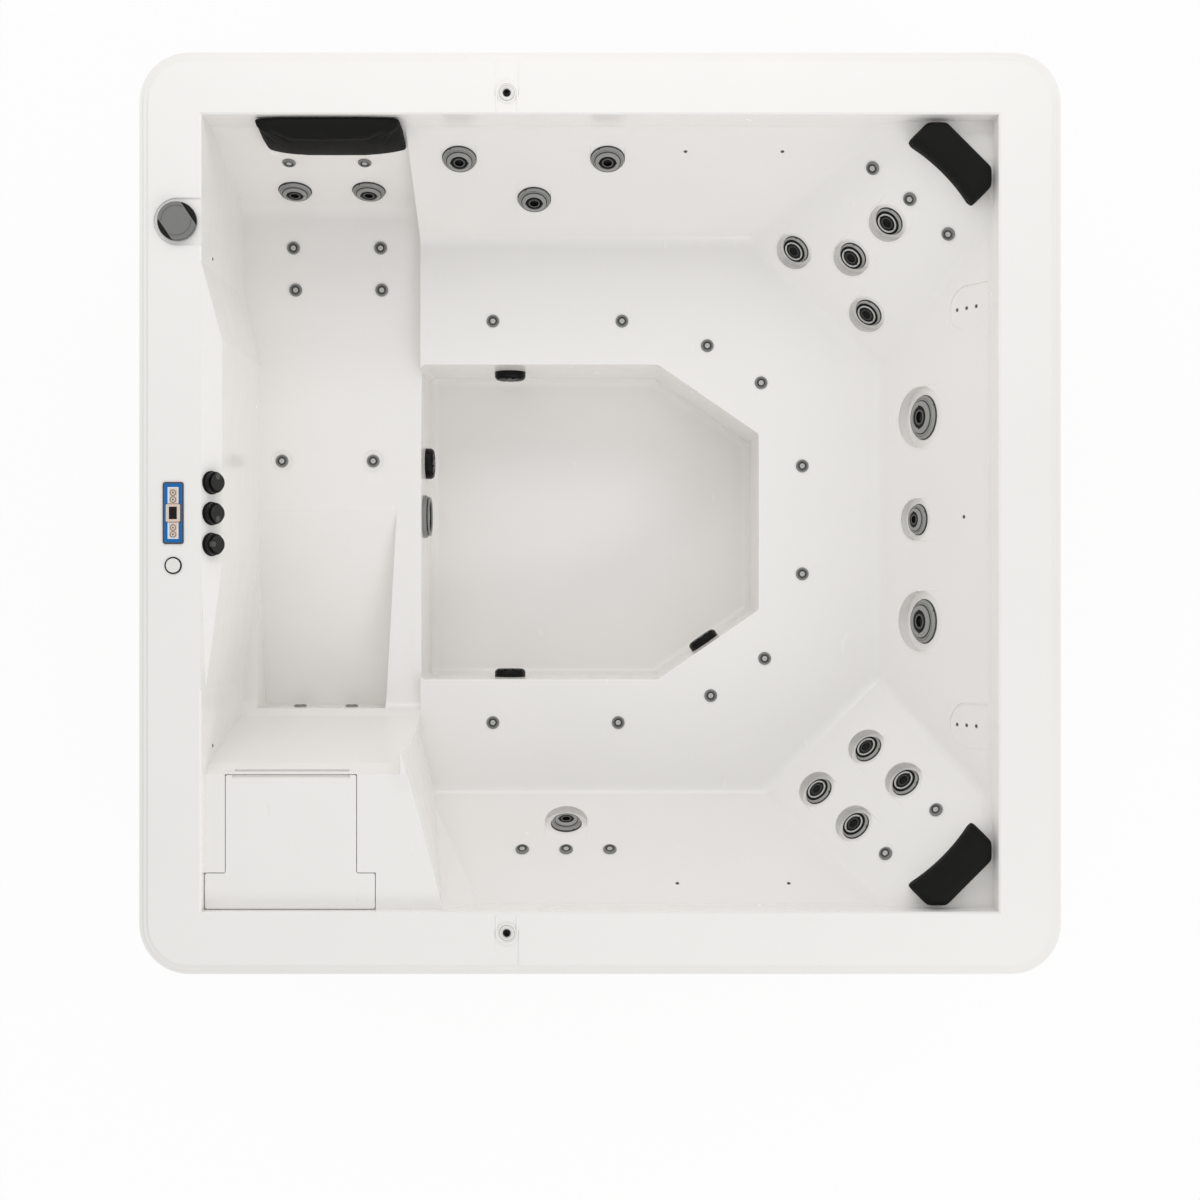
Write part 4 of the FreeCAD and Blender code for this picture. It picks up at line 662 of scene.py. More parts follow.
    @staticmethod
    def joined(name: str, pieces: Sequence[Piece]) -> Piece:
        """Several pieces as one."""
        whole = Bench.pick(*pieces)
        bpy.ops.object.join()
        whole.name = name
        return whole

    @staticmethod
    def dropped(piece: Piece) -> None:
        """Removes a pattern piece that copies were made from."""
        Bench.pick(piece)
        bpy.ops.object.delete()


def node(name: str) -> Piece:
    """One CAD node's object."""
    return frame["nodes"][name]


def points_of(name: str) -> np.ndarray:
    """Rows of coordinates of a CAD node's vertices."""
    mesh = node(name).data
    flat = np.zeros(len(mesh.vertices) * 3)
    mesh.vertices.foreach_get("co", flat)
    return flat.reshape(-1, 3)


def joint_place(name: str) -> Place:
    """Where a hinge stands and which way its axis points."""
    joint = next(j for j in frame["joints"] if j["name"] == name)
    return Place(Vector(joint["pos_m"]), Vector(joint["axis"]).normalized())


def separate_places(name: str) -> list[Place]:
    """Finds the top middle and the way out of each small turned fitting in a node.

    Args:
        name: A node that holds several separate fittings, each a flange on a narrower barrel.

    Returns:
        One place for each fitting, at the top of its flange.
    """
    mesh = node(name).data
    keys, spread = np.unique(points_of(name).round(MICRON_DIGITS), axis=0, return_inverse=True)
    spread = spread.reshape(-1)
    group = np.arange(len(keys))
    corners = [[spread[v] for v in face.vertices] for face in mesh.polygons]
    changed = True
    while changed:
        changed = False
        for corner in corners:
            least = group[corner].min()
            if (group[corner] != least).any():
                group[corner] = least
                changed = True
    places = []
    for label in np.unique(group):
        points = keys[group == label]
        middle = points.mean(0)
        spans, ways = np.linalg.eigh(np.cov((points - middle).T))
        lone = 2 if spans[2] - spans[1] > spans[1] - spans[0] else 0
        place = Place(Vector(middle), Vector(ways[:, lone]))
        height, away = place.along(points)
        if height[away > away.max() * FLANGE_SHARE].mean() < 0:
            place = Place(place.point, -place.out)
            height = -height
        places.append(Place(place.point + place.out * float(height.max()), place.out))
    return places


def seated(piece: Piece, finish: Finish, body: str = ROOT) -> Piece:
    """Dresses a new piece, seats it on a body and reports it."""
    finish.coat(piece)
    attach(piece, body)
    log.info("%s on %s, %d faces", piece.name, body, len(piece.data.polygons))
    return piece


class Palette:
    """The finishes of this tub."""

    acrylic = CastAcrylic("acrylic", paint(248, 246, 243))
    lid = CastAcrylic("lid_acrylic", paint(248, 246, 243), 0.24)
    pillow = FoamSkin("pillow_foam", paint(20, 20, 19))
    bezel = Moulded("jet_bezel", paint(160, 160, 157), 0.36, sheen=0.3)
    pale_bezel = Moulded("jet_bezel", paint(176, 176, 172), 0.36, sheen=0.3)
    bright_bezel = Moulded("jet_bezel", paint(205, 205, 201), 0.36, sheen=0.3)
    nozzle = Moulded("jet_bezel", paint(104, 104, 102), 0.36, sheen=0.2)
    dark_nozzle = Moulded("jet_bezel", paint(70, 70, 68), 0.36, sheen=0.2)
    jet_black = Moulded("jet_black", paint(12, 12, 12), 0.34, sheen=0.15)
    # dark grey of a real gasket, which also paints the shadow gap round each jet's flange
    shadow_gasket = Moulded("jet_black", paint(70, 70, 68), 0.5, sheen=0.15)
    fitting = Moulded("fitting_grey", paint(142, 142, 139), 0.34, sheen=0.3)
    eye = Moulded("fitting_grey", paint(196, 196, 192), 0.34, sheen=0.3)
    throat = Moulded("fitting_grey", paint(50, 50, 48), 0.4, sheen=0.2)
    pin = Moulded("pin_grey", paint(96, 96, 94), 0.3, sheen=0.2)
    screen = Moulded("screen_black", paint(6, 6, 7), 0.12, grain=900.0, relief=0.004 * MM, sheen=0.2)
    key = Moulded("key_rubber", paint(222, 206, 194), 0.55)
    key_ring = Moulded("key_rubber", paint(104, 80, 64), 0.5)
    knob = Moulded("knob_black", paint(11, 11, 10), 0.34, sheen=0.15)
    knob_disc = Moulded("knob_black", paint(44, 44, 43), 0.4, sheen=0.2)
    knob_nub = Moulded("knob_black", paint(86, 86, 83), 0.4, sheen=0.2)
    button = CastAcrylic("button_white", paint(238, 236, 231), 0.26)
    cloth = FilterCloth("filter_cloth", paint(228, 231, 234))
    pan = Moulded("pan_plastic", paint(38, 38, 38), 0.6, grain=700.0, relief=0.1 * MM)
    foam = BeadFoam("foam_board", paint(216, 218, 220))
    steel = BrushedMetal("screw_steel", paint(200, 200, 198))
    motor = Moulded("motor_paint", paint(62, 74, 90), 0.42, grain=420.0, relief=0.1 * MM)
    pump = Moulded("pump_plastic", paint(36, 36, 36), 0.5)
    impeller = Moulded("impeller_plastic", paint(88, 88, 88), 0.45)
    heater = Moulded("heater_case", paint(152, 155, 158), 0.48, grain=500.0, relief=0.08 * MM)
    pipe = Moulded(
        "pipe_plastic", paint(231, 231, 227), 0.3, grain=900.0, relief=0.01 * MM, clouding=0.05,
    )
    drain = Moulded("drain_plastic", paint(36, 36, 36), 0.45)


@dataclass(frozen=True)
class JetLook:
    """How one kind of jet is dressed.

    Radii are shares of the jet's own radius, and the wall and the rise of its dish are in millimetres.
    """

    bezel: Finish
    dish: Finish
    nozzle: Finish
    # outer radius of the black band that paints the shadow at the dish's foot
    shadow_groove_outer: float
    dish_foot: float
    dish_crest: float
    dish_inner: float
    nozzle_outer: float
    nozzle_inner: float
    lug: float
    wall: float
    rise: float


class Bezel(Enum):
    """The two kinds of jet bezel."""

    WIDE = JetLook(
        bezel=Palette.bezel,
        dish=Palette.bezel,
        nozzle=Palette.nozzle,
        shadow_groove_outer=0.79,
        dish_foot=0.745,
        dish_crest=0.57,
        dish_inner=0.52,
        nozzle_outer=0.345,
        nozzle_inner=0.27,
        lug=0.045,
        wall=3.0,
        rise=7.0,
    )
    NARROW = JetLook(
        bezel=Palette.pale_bezel,
        dish=Palette.bright_bezel,
        nozzle=Palette.dark_nozzle,
        shadow_groove_outer=0.885,
        dish_foot=0.715,
        dish_crest=0.69,
        dish_inner=0.61,
        nozzle_outer=0.44,
        nozzle_inner=0.35,
        lug=0.05,
        wall=3.0,
        rise=3.6,
    )


@dataclass(frozen=True)
class Recess:
    """Recess round a jet: its radius, the run of its straight sides, and its floor's lean in degrees."""

    radius: float
    run: float
    lean: float

    def wall(self, foot: Place) -> Place:
        """Where the wall passes over a jet that is seated on the floor of this recess."""
        lean = math.radians(self.lean)
        level = foot.matrix().to_3x3() @ Vector((1, 0, 0))
        out = Matrix.Rotation(-lean, 3, level) @ foot.out
        return Place(foot.point + foot.out * (self.radius * MM * math.tan(lean)), out)


class Hollow(Enum):
    """The recesses that are pressed into the walls, named for where they lie."""

    REAR = Recess(radius=44.0, run=60.0, lean=0.0)
    RIGHT = Recess(radius=80.0, run=96.0, lean=10.0)
    MIDDLE = Recess(radius=56.0, run=84.0, lean=10.0)
    CORNER = Recess(radius=50.0, run=64.0, lean=14.0)


@dataclass
class Pillow:
    """A soft head pillow, swollen from a slightly smaller copy of its solid."""

    source: str
    wall_way: Vector
    smoothing: int = 4
    shrink: float = 2.5 * MM
    swell: float = 3.0 * MM
    voxel: float = 5.0 * MM
    weld: float = 0.01 * MM
    wall_share: float = 0.6
    pressure: float = 4.0
    frames: int = 20

    def build(self) -> Piece:
        """Remeshes a copy of the solid, swells it by pressure and smooths it."""
        piece = bpy.data.objects.new(f"{self.source}_pad", node(self.source).data.copy())
        bpy.context.scene.collection.objects.link(piece)
        with Bench.editing(piece):
            bpy.ops.mesh.remove_doubles(threshold=self.weld)
        Bench.applied(piece, "REMESH", {"mode": "VOXEL", "voxel_size": self.voxel})
        Bench.applied(piece, "SMOOTH", {"factor": 0.5, "iterations": self.smoothing})
        # The skin is drawn in, so that it has room to swell
        with Bench.editing(piece):
            bpy.ops.transform.shrink_fatten(value=-self.shrink)
        self.swollen(piece)
        Bench.applied(piece, "SUBSURF", {"levels": 1, "render_levels": 1})
        bpy.ops.object.shade_smooth()
        return piece

    def swollen(self, piece: Piece) -> None:
        """Blows the skin out, holding what lies against the wall and limiting how far the rest moves."""
        group = piece.vertex_groups.new(name="wall")
        held = [v.index for v in piece.data.vertices if v.normal.dot(self.wall_way) > self.wall_share]
        group.add(held, 1.0, "REPLACE")
        before = np.array([v.co for v in piece.data.vertices])
        cloth = piece.modifiers.new("swell", "CLOTH")
        cloth.settings.use_pressure = True
        cloth.settings.uniform_pressure_force = self.pressure
        cloth.settings.effector_weights.gravity = 0
        cloth.settings.vertex_group_mass = group.name
        cloth.point_cache.frame_start = 1
        cloth.point_cache.frame_end = self.frames
        for step in range(1, self.frames + 1):
            bpy.context.scene.frame_set(step)
        Bench.pick(piece)
        bpy.ops.object.modifier_apply(modifier=cloth.name)
        after = np.array([v.co for v in piece.data.vertices])
        moved = after - before
        reach = np.maximum(np.linalg.norm(moved, axis=1, keepdims=True), self.weld)
        kept = before + moved * np.minimum(1.0, self.swell / reach)
        piece.data.vertices.foreach_set("co", kept.ravel())
        piece.data.update()
        piece.vertex_groups.clear()

    def dress(self) -> None:
        piece = self.build()
        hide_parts(self.source)
        seated(piece, Palette.pillow)


@dataclass
class Jets:
    """The large jets: bezels and bodies, what is set in them, and the edges of their recesses.

    Radii and heights are in millimetres, above the foot of the jet's flange.
    """

    count: int = 17
    first_narrow: int = 10
    face_top: float = 10.0
    body_top: float = 5.0
    sunk: float = 0.5
    lip: float = 1.0
    shadow_gasket_width: float = 2.0
    shadow_gasket_height: float = 2.5
    edge_bead: float = 2.0
    bore_share: float = 0.9
    lug_sides: int = 24

    def recess(self, number: int) -> Recess | None:
        """The recess round this jet, or None on the lounge."""
        rows = [Hollow.REAR] * 3 + [None] * 2 + [Hollow.RIGHT] * 2 + [Hollow.MIDDLE] * 2
        hollow = Hollow.CORNER if number >= self.first_narrow else rows[number - 1]
        return hollow.value if hollow else None

    def look(self, number: int) -> JetLook:
        """How this jet is dressed."""
        return (Bezel.NARROW if number >= self.first_narrow else Bezel.WIDE).value

    def dish(self, look: JetLook, radius: float) -> Piece:
        """Dish that stands on the bezel: a short wall, and a cone up to the edge of its hole."""
        foot = radius * look.dish_foot
        inner = radius * look.dish_inner
        low, top = self.face_top - self.sunk, self.face_top + look.rise
        piece = Bench.turned("dish", [
            (foot, low),
            (foot, self.face_top + look.wall),
            (radius * look.dish_crest, top),
            (inner, top - self.lip),
            (inner, low),
        ])
        Bench.rounded(piece, self.lip / 2)
        return piece

    def shadow_groove(self, look: JetLook, radius: float) -> Piece:
        """Black band round the foot of the dish that paints the shadow under the dish's step, and a dark
        lug on each side of its hole.
        """
        outer = radius * look.shadow_groove_outer
        inner = radius * look.dish_foot - self.lip
        low, high = self.face_top - self.sunk, self.face_top + self.sunk
        # painted shadow: a black band where the step at the dish's foot casts shade
        pieces = [Bench.band("shadow_groove", outer, inner, low, high)]
        size = radius * look.lug
        top = self.face_top + look.rise
        profile = [(size, low), (size, top), (size / 2, top + self.sunk)]
        pattern = Bench.turned("lug", profile, self.lug_sides, capped=True)
        for way in (-1, 1):
            shift = Matrix.Translation((way * radius * look.dish_inner * MM, 0, 0))
            pieces.append(Bench.copied(pattern, "lug", shift))
        Bench.dropped(pattern)
        return Bench.joined("shadow_groove", pieces)

    def insert(self, look: JetLook, radius: float) -> Piece:
        """Dark insert that fills the hole of the dish, with a bore in its middle."""
        outer = radius * look.dish_inner - self.sunk
        bore = radius * look.nozzle_inner
        top = self.face_top + look.rise - 2 * self.lip
        return Bench.turned("insert", [
            (outer, self.body_top),
            (outer, top - self.lip),
            (outer - self.lip, top),
            (bore, top),
            (bore * self.bore_share, self.face_top),
        ], capped=True)

    def nozzle(self, look: JetLook, radius: float) -> Piece:
        """Rounded ring round the bore of the insert."""
        outer = radius * look.nozzle_outer
        inner = radius * look.nozzle_inner
        lip = (outer - inner) / 4
        low, top = self.face_top, self.face_top + look.rise - self.lip / 2
        return Bench.turned("nozzle", [
            (outer, low),
            (outer, top - lip),
            (outer - lip, top),
            (inner + lip, top),
            (inner, top - lip),
            (inner, low),
        ])

    def shadow_gasket(self, radius: float) -> Piece:
        """Rounded dark gasket between the flange of a jet and the shell, which also paints the shadow gap
        at the flange's edge.
        """
        inner, outer = radius - self.shadow_gasket_width, radius + self.shadow_gasket_width
        high = self.shadow_gasket_height
        return Bench.turned("shadow_gasket", [
            (outer, -self.sunk), (outer, high / 2), (radius, high), (inner, high), (inner, -self.sunk),
        ])

    def dress(self) -> None:
        """Coats the CAD pieces and sets the scene's own pieces in each jet."""
        Palette.jet_black.coat(node("jet_bodies"))
        shadow_gaskets, edges = [], []
        for number in range(1, self.count + 1):
            name = f"jet_face_{number:02d}"
            look = self.look(number)
            look.bezel.coat(node(name))
            place = joint_place(f"{name}_turn")
            height, away = place.along(points_of(name))
            radius = float(away.max()) / MM
            foot = Place(place.point + place.out * (float(height.max()) - self.face_top * MM), place.out)
            for piece, title, finish, body in (
                (self.insert(look, radius), "insert", Palette.jet_black, ROOT),
                (self.nozzle(look, radius), "nozzle", look.nozzle, ROOT),
                (self.dish(look, radius), "dish", look.dish, name),
                # painted shadow: the black band at the foot of the dish
                (self.shadow_groove(look, radius), "shadow_groove", Palette.jet_black, name),
            ):
                seated(Bench.carried(piece, f"jet_{title}_{number:02d}", foot.matrix()), finish, body)
            # the dark gasket ring doubles as the painted shadow gap round the flange
            shadow_gaskets.append(Bench.carried(self.shadow_gasket(radius), "shadow_gasket", foot.matrix()))
            recess = self.recess(number)
            if recess:
                edge = Bench.hoop("edge", recess.radius, recess.run, self.edge_bead, self.edge_bead)
                edges.append(Bench.carried(edge, "edge", recess.wall(foot).matrix()))
        seated(Bench.joined("jet_shadow_gaskets", shadow_gaskets), Palette.shadow_gasket)
        seated(Bench.joined("jet_recess_edges", edges), Palette.acrylic)


@dataclass
class SmallFittings:
    """Small jets, seat injectors, light pins, fountains, suction covers and the footwell light.

    Sizes are in millimetres. An outline gives rings as radius and height, from the foot over the top: the
    height is above the top of the fitting, and for a fountain's collar and shade seal above the tub's
    rim.
    """

    eye: ClassVar[Profile] = ((6.6, -2.0), (6.6, -0.8), (4.5, 0.6), (2.4, 0.3), (1.92, -0.7))
    ring: ClassVar[Profile] = ((12.6, -0.6), (12.6, 0.3), (6.9, -1.2), (6.9, -2.6))
    collar: ClassVar[Profile] = (
        (17.5, -0.5), (17.5, 1.2), (15.5, 3.2), (11.0, 3.2), (9.2, 2.0), (9.2, -0.5),
    )
    # grey ring that paints the shaded groove round the foot of a fountain's collar
    shade_seal: ClassVar[Profile] = ((19.0, -0.5), (19.0, 0.4), (17.0, 0.6), (17.0, -0.5))
    light_ring: ClassVar[Profile] = (
        (53.0, 3.0), (53.0, 5.5), (51.0, 7.0), (45.0, 7.0), (43.5, 5.5), (43.5, 3.0),
    )
    # dark ring that paints the shadow in the slot between the light and its front ring
    shadow_spacer: ClassVar[Profile] = ((48.0, -0.5), (48.0, 3.4), (44.0, 3.4), (44.0, -0.5))
    lens_colour: Colour = (0.82, 0.84, 0.84)
    small_sides: int = 32
    fountain_rise: float = 7.0
    pad_radius: float = 25.0
    pad_run: float = 40.0
    pad_bead: float = 2.5
    pad_sink: float = 0.5

    def spread(self, pattern: Piece, source: str, name: str, finish: Finish) -> None:
        """Sets a copy of a pattern in the middle of each fitting of a node, and drops the pattern."""
        copies = [Bench.copied(pattern, name, place.matrix()) for place in separate_places(source)]
        Bench.dropped(pattern)
        piece = Bench.joined(name, copies)
        Bench.smoothed(piece)
        seated(piece, finish)

    def small_jets(self, source: str, name: str) -> None:
        """Sets a dimpled eye and a dark ring over the throat in each small jet of a node."""
        eye = Bench.turned("eye", self.eye, self.small_sides, capped=True)
        self.spread(eye, source, f"{name}_eyes", Palette.eye)
        ring = Bench.turned("ring", self.ring, self.small_sides)
        self.spread(ring, source, f"{name}_rings", Palette.throat)

    def fountains(self) -> None:
        """Sets a white collar on a thin grey seal round each fountain, whose grey paints the shade in the
        groove round the collar, and the edge of its pad.
        """
        rim = -self.fountain_rise
        for outline, title, finish in (
            (self.collar, "collars", Palette.button),
            # painted shade: a grey ring where the groove round the collar is shaded
            (self.shade_seal, "shade_seals", Palette.eye),
        ):
            pattern = Bench.turned(title, [(radius, rim + height) for radius, height in outline])
            self.spread(pattern, "fountain_nozzles", f"fountain_{title}", finish)
        pattern = Bench.hoop("pad", self.pad_radius, self.pad_run, self.pad_bead, self.pad_sink)
        pads = []
        for place in separate_places("fountain_nozzles"):
            seat = Matrix.Translation(place.point + Vector((0, 0, rim * MM)))
            inwards = Matrix.Rotation(math.pi if place.point.y > 0 else 0.0, 4, "Z")
            pads.append(Bench.copied(pattern, "pad", seat @ inwards))
        Bench.dropped(pattern)
        seated(Bench.joined("fountain_pads", pads), Palette.acrylic)

    def light(self) -> None:
        """Sets a grey front ring on the footwell light, held off it by a dark spacer that paints the
        shadow in the slot under the ring.
        """
        low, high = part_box("footwell_light")
        seat = Place(Vector((high.x, (low.y + high.y) / 2, (low.z + high.z) / 2)), Vector((1, 0, 0)))
        for outline, name, finish in (
            (self.light_ring, "light_ring", Palette.fitting),
            # painted shadow: the dark slot under the front ring
            (self.shadow_spacer, "light_shadow_spacer", Palette.jet_black),
        ):
            seated(Bench.carried(Bench.turned(name, outline), name, seat.matrix()), finish)

    def dress(self) -> None:
        """Coats the CAD fittings and adds the pieces that are set in and on them."""
        Palette.fitting.coat(node("micro_jets"), node("air_injectors"), node("footwell_light"))
        Palette.pin.coat(node("led_pins"))
        Palette.jet_black.coat(node("suction_covers"), node("fountain_nozzles"))
        low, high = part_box("light_lens")
        ClearLens("lens_clear", self.lens_colour, (low + high) / 2).coat(node("light_lens"))
        self.small_jets("micro_jets", "micro_jet")
        self.small_jets("air_injectors", "air_injector")
        self.fountains()
        self.light()


@dataclass
class Controls:
    """Everything that is worked by hand on the rim.

    Sizes are in millimetres. An outline gives rings as radius and height, from the foot over the top.
    """

    mark: ClassVar[Profile] = ((2.0, -0.4), (2.0, 0.1), (1.4, 0.35))
    cap: ClassVar[Profile] = (
        (9.3, -3.2), (9.3, 0.2), (6.8, 0.4), (6.6, 1.4), (4.2, 1.6), (4.0, 0.9), (1.5, 0.7),
    )
    keys: int = 4
    knobs: int = 3
    mark_sides: int = 32
    sides: int = 48
    frame_rise: float = 1.5
    ring_outer: float = 7.3
    ring_inner: float = 6.5
    ring_rise: float = 0.7
    ring_rounding: float = 0.2
    disc_radius: float = 20.5
    inlay_foot: float = -0.6
    inlay_top: float = 0.5
    # black ring that paints the shadow round the foot of each knob's cap
    nub_shadow_outer: float = 11.0
    nub_shadow_inner: float = 8.0
    nub_shadow_foot: float = -3.8
    nub_shadow_top: float = -3.0
    knob_rounding: float = 0.3
    arc_radius: float = 36.0
    arc_width: float = 0.9
    arc_end: float = 3.0
    bar_width: float = 67.0
    bar_rise: float = 1.5
    bar_edge: float = 0.5
    skin: float = 0.1

    def panel(self) -> None:
        """Coats the panel and its display, and dresses its keys."""
        low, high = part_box("control_panel")
        size = high - low
        frame_foot = high.z - self.frame_rise * MM / 2
        points = points_of("control_panel")
        raised = points[points[:, 2] > frame_foot]
        frame_size = raised.max(0) - raised.min(0)
        PanelFilm(
            slot="panel_face",
            border=paint(74, 64, 56),
            ground=paint(0, 104, 176),
            dots=paint(0, 88, 156),
            line=paint(236, 240, 242),
            plate=paint(226, 206, 190),
            middle=(low + high) / 2,
            half_breadth=size.x / 2,
            half_length=size.y / 2,
            frame_half_breadth=float(frame_size[0]) / 2,
            frame_half_length=float(frame_size[1]) / 2,
            frame_foot=frame_foot,
        ).coat(node("control_panel"))
        Palette.screen.coat(node("control_display"))
        self.ringed_keys(high.z - self.frame_rise * MM)

    def ringed_keys(self, film: float) -> None:
        """Coats the keys, sets a mark on each and rings each on the film, whose height is given."""
        mark = Bench.turned("mark", self.mark, self.mark_sides, capped=True)
        ring = Bench.band("ring", self.ring_outer, self.ring_inner, 0.0, self.ring_rise, self.sides)
        Bench.rounded(ring, self.ring_rounding)
        rings = []
        for number in range(1, self.keys + 1):
            name = f"control_key_{number}"
            Palette.key.coat(node(name))
            low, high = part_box(name)
            middle = (low + high) / 2
            seat = Matrix.Translation((middle.x, middle.y, film))
            rings.append(Bench.copied(ring, "key_ring", seat))
            top = Matrix.Translation((middle.x, middle.y, high.z))
            seated(Bench.copied(mark, f"{name}_mark", top), Palette.key_ring, name)
        Bench.dropped(mark)
        Bench.dropped(ring)
        seated(Bench.joined("key_rings", rings), Palette.key_ring)

    def knob(self, number: int) -> None:
        """Coats an air knob, and sets a disc on its top and a stepped cap in a dark seat on its nub: the
        seat is a black ring that paints the shadow round the cap's foot.
        """
        name = f"air_knob_{number}"
        Palette.knob.coat(node(name))
        place = joint_place(f"{name}_turn")
        points = points_of(name)
        height, away = place.along(points)
        nub = points[height > height.max() - self.skin * MM]
        top = float(height[away > self.disc_radius * MM].max())
        cap_seat = Place(Vector((nub.min(0) + nub.max(0)) / 2), place.out)
        disc_seat = Place(place.point + place.out * top, place.out)
        cap = Bench.turned("cap", self.cap, self.sides, capped=True)
        profile = [(self.disc_radius, self.inlay_foot), (self.disc_radius, self.inlay_top)]
        disc = Bench.turned("disc", profile, capped=True)
        # painted shadow: a black ring round the foot of the cap
        ring = Bench.band(
            "seat", self.nub_shadow_outer, self.nub_shadow_inner, self.nub_shadow_foot, self.nub_shadow_top, self.sides
        )
        for piece, seat, title, finish in (
            (cap, cap_seat, "cap", Palette.knob_nub),
            (disc, disc_seat, "disc", Palette.knob_disc),
            # painted shadow round the cap's foot
            (ring, cap_seat, "seat", Palette.knob),
        ):
            Bench.rounded(piece, self.knob_rounding)
            seated(Bench.carried(piece, f"{name}_{title}", seat.matrix()), finish, name)

    def diverter(self) -> None:
        """Coats the diverter knob and sets the two moulded arcs at the ends of its bar."""
        _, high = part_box("diverter_knob")
        place = joint_place("diverter_turn")
        side = self.bar_way().cross(Vector((0, 0, 1)))
        half_bar = self.bar_width / 2
        TwoLevel(
            slot="diverter_grey",
            colour=paint(130, 130, 128),
            sunken=paint(20, 20, 19),
            height=high.z - self.bar_rise * MM,
            middle=place.point,
            side=side,
            reach=(half_bar - self.bar_edge) * MM,
        ).coat(node("diverter_knob"))
        radius = self.arc_radius
        arcs = Bench.band("arcs", radius, radius - self.arc_width, self.inlay_foot, self.inlay_top)
        reach = (half_bar - self.arc_end) * MM
        for way in (side, -side):
            with Bench.editing(arcs):
                bpy.ops.mesh.bisect(plane_co=way * reach, plane_no=way, clear_outer=True, use_fill=True)
        top = Matrix.Translation((place.point.x, place.point.y, high.z))
        seated(Bench.carried(arcs, "diverter_arcs", top), Palette.pin, "diverter_knob")

    def bar_way(self) -> Vector:
        """The way that the diverter's bar runs: where its top reaches furthest."""
        points = points_of("diverter_knob")
        top = points[points[:, 2] > points[:, 2].max() - self.skin * MM]
        middle = (top.min(0) + top.max(0)) / 2
        flat = (top - middle)[:, :2]
        _, ways = np.linalg.eigh(flat.T @ flat)
        return Vector((*ways[:, 1], 0.0))

    def dress(self) -> None:
        """Dresses the panel, the knobs, the diverter and the round button."""
        self.panel()
        for number in range(1, self.knobs + 1):
            self.knob(number)
        self.diverter()
        Palette.jet_black.coat(node("control_bodies"))
        Palette.button.coat(node("aux_button"))


@dataclass
class Cabinet:
    """Boarded sides, corner trims, pan, frame and insulation."""

    boards: int = 6

    def dress(self) -> None:
        """Coats each panel in boards that match its grooves."""
        colour, dark = paint(150, 92, 62), paint(92, 50, 33)
        for name in ("panel_rear", "panel_right", "panel_front", "access_panel"):
            low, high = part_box(name)
            pitch = (high.z - low.z) / self.boards
            Planks("cabinet_planks", colour, dark, low.z, pitch).coat(node(name))
        low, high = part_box("corner_trims")
        colour, dark = paint(118, 70, 46), paint(70, 38, 26)
        Planks("corner_trim", colour, dark, low.z, high.z * 2, upright=True).coat(node("corner_trims"))
        colour, dark = paint(196, 164, 118), paint(160, 122, 78)
        Planks("timber", colour, dark, foot=0.0, pitch=1.0, upright=True).coat(node("timber_frame"))
        Palette.pan.coat(node("base_pan"))
        Palette.foam.coat(node("insulation_boards"))
        Palette.steel.coat(node("access_screws"))


@dataclass
class Equipment:
    """Pumps, heater, pipes, filter and drain."""

    def dress(self) -> None:
        """Coats each piece of the equipment."""
        Palette.motor.coat(node("pump_motors"))
        Palette.pump.coat(node("pump_wet_ends"))
        Palette.impeller.coat(node("pump_impeller_1"), node("pump_impeller_2"))
        Palette.heater.coat(node("heater_pack"))
        Palette.pipe.coat(node("plumbing"))
        Palette.drain.coat(node("drain_valve"), node("drain_cap"))
        Palette.cloth.coat(node("filter_cartridges"))


@dataclass
class Shell:
    """The acrylic shell and the filter lid."""

    def dress(self) -> None:
        """Coats the shell and the lid."""
        Palette.acrylic.coat(node("acrylic_shell"))
        Palette.lid.coat(node("filter_lid"))


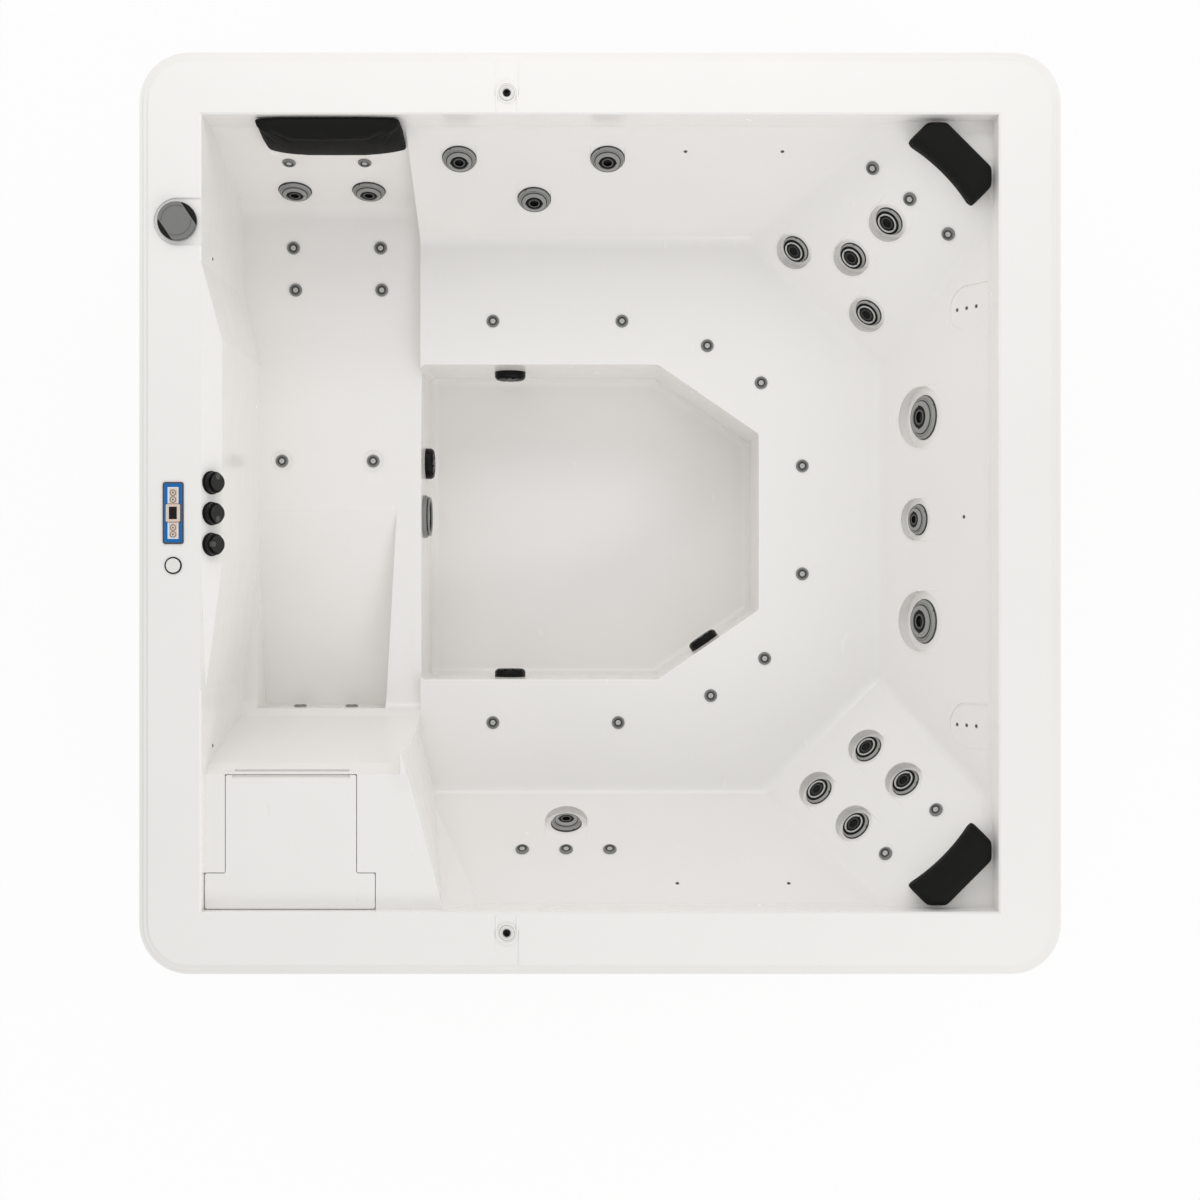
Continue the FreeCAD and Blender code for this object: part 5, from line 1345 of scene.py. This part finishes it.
@dataclass
class Studio:
    """Floor, light and camera."""

    picture_span: float = 1200.0
    rim_span: float = 924.0
    rim_middle_rise: float = 87.0
    lens: float = 50.0
    sensor: float = 36.0
    floor_size: float = 60.0
    sky_level: float = 0.74
    sky_spread: float = 0.6
    rear_power: float = 16.0
    front_power: float = 34.0
    lamp_length: float = 3.4
    lamp_breadth: float = 0.9
    white_share: float = 0.95
    floor_colour: Colour = (0.9, 0.9, 0.9)
    rear_spot: Triple = (0.0, 2.2, 2.4)
    front_spot: Triple = (2.2, -3.4, 3.2)

    def seen(self, mix: Recipe) -> Field:
        """1 for what is seen, straight on or by a mirror or glass, and 0 for light on the tub."""
        rays = ("Is Camera Ray", "Is Glossy Ray", "Is Transmission Ray")
        straight, mirrored, through = (mix.field("ShaderNodeLightPath", {}, ray) for ray in rays)
        return straight.larger(mirrored).larger(through)

    def floor(self) -> None:
        """Pale floor that looks white and keeps the tub's shadow."""
        Bench.clear()
        bpy.ops.mesh.primitive_plane_add(size=self.floor_size, location=(0, 0, cad_low.z))
        plane = bpy.context.object
        plane.name = "floor"
        mix = Recipe(bpy.data.materials.new("floor_white"))
        matt = mix.field("ShaderNodeBsdfDiffuse", {"Color": self.floor_colour})
        glow = mix.field("ShaderNodeEmission", {"Strength": 1.0})
        share = self.seen(mix) * self.white_share
        both = mix.field("ShaderNodeMixShader", {0: share, 1: matt, 2: glow})
        mix.node("ShaderNodeOutputMaterial", {0: both})
        plane.data.materials.append(mix.owner)

    def sky(self) -> None:
        """White light from all round, stronger from the sides than from above, and a white background."""
        mix = Recipe(bpy.data.worlds.new("studio"))
        bpy.context.scene.world = mix.owner
        _, _, rise = mix.axes()
        light = self.sky_level * (1 + self.sky_spread * (0.5 - rise * rise))
        seen = self.seen(mix)
        strength = seen + (1 - seen) * light
        backdrop = mix.field("ShaderNodeBackground", {"Color": (1, 1, 1), "Strength": strength})
        mix.node("ShaderNodeOutputWorld", {0: backdrop})

    def lamp(self, name: str, spot: Vector, power: float) -> None:
        """Long soft lamp that looks at the middle of the tub.

        Args:
            name: Name of the lamp.
            spot: Where it hangs.
            power: Its power in watts.
        """
        light = bpy.data.lights.new(name, "AREA")
        light.shape = "RECTANGLE"
        light.size = self.lamp_length
        light.size_y = self.lamp_breadth
        light.energy = power
        lamp = bpy.data.objects.new(name, light)
        bpy.context.scene.collection.objects.link(lamp)
        lamp.location = spot
        aim = Vector((0, 0, cad_high.z / 2)) - spot
        lamp.rotation_mode = "QUATERNION"
        lamp.rotation_quaternion = aim.to_track_quat("-Z", "Y")
        lamp.visible_camera = False

    def camera(self) -> None:
        """Camera straight above, at the height that gives the rim its span in the picture."""
        width = cad_high.x - cad_low.x
        pixel = width / self.rim_span
        data = bpy.data.cameras.new("overhead")
        data.lens = self.lens
        data.sensor_width = self.sensor
        distance = self.picture_span * pixel * self.lens / self.sensor
        camera = bpy.data.objects.new("overhead", data)
        bpy.context.scene.collection.objects.link(camera)
        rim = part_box("acrylic_shell")[1].z
        camera.location = (0, -self.rim_middle_rise * pixel, rim + distance)
        bpy.context.scene.camera = camera

    def build(self) -> None:
        """Sets up the studio."""
        self.floor()
        self.sky()
        self.lamp("rear_softbox", Vector(self.rear_spot), self.rear_power)
        self.lamp("front_softbox", Vector(self.front_spot), self.front_power)
        self.camera()
        bpy.context.scene.view_settings.view_transform = "Standard"


def main() -> None:
    """Dresses the tub and sets up the studio round it."""
    logging.basicConfig(level=logging.INFO, format="%(message)s")
    Shell().dress()
    diagonal = math.sqrt(0.5)
    Pillow("lounge_pillow", Vector((0, 1, 0))).dress()
    for name, way in (("rear_corner_pillow", 1), ("front_corner_pillow", -1)):
        outwards = Vector((diagonal, way * diagonal, 0))
        Pillow(name, outwards, smoothing=9, shrink=1.0 * MM, swell=1.0 * MM).dress()
    Jets().dress()
    SmallFittings().dress()
    Controls().dress()
    Cabinet().dress()
    Equipment().dress()
    Studio().build()


if __name__ == "__main__":
    main()
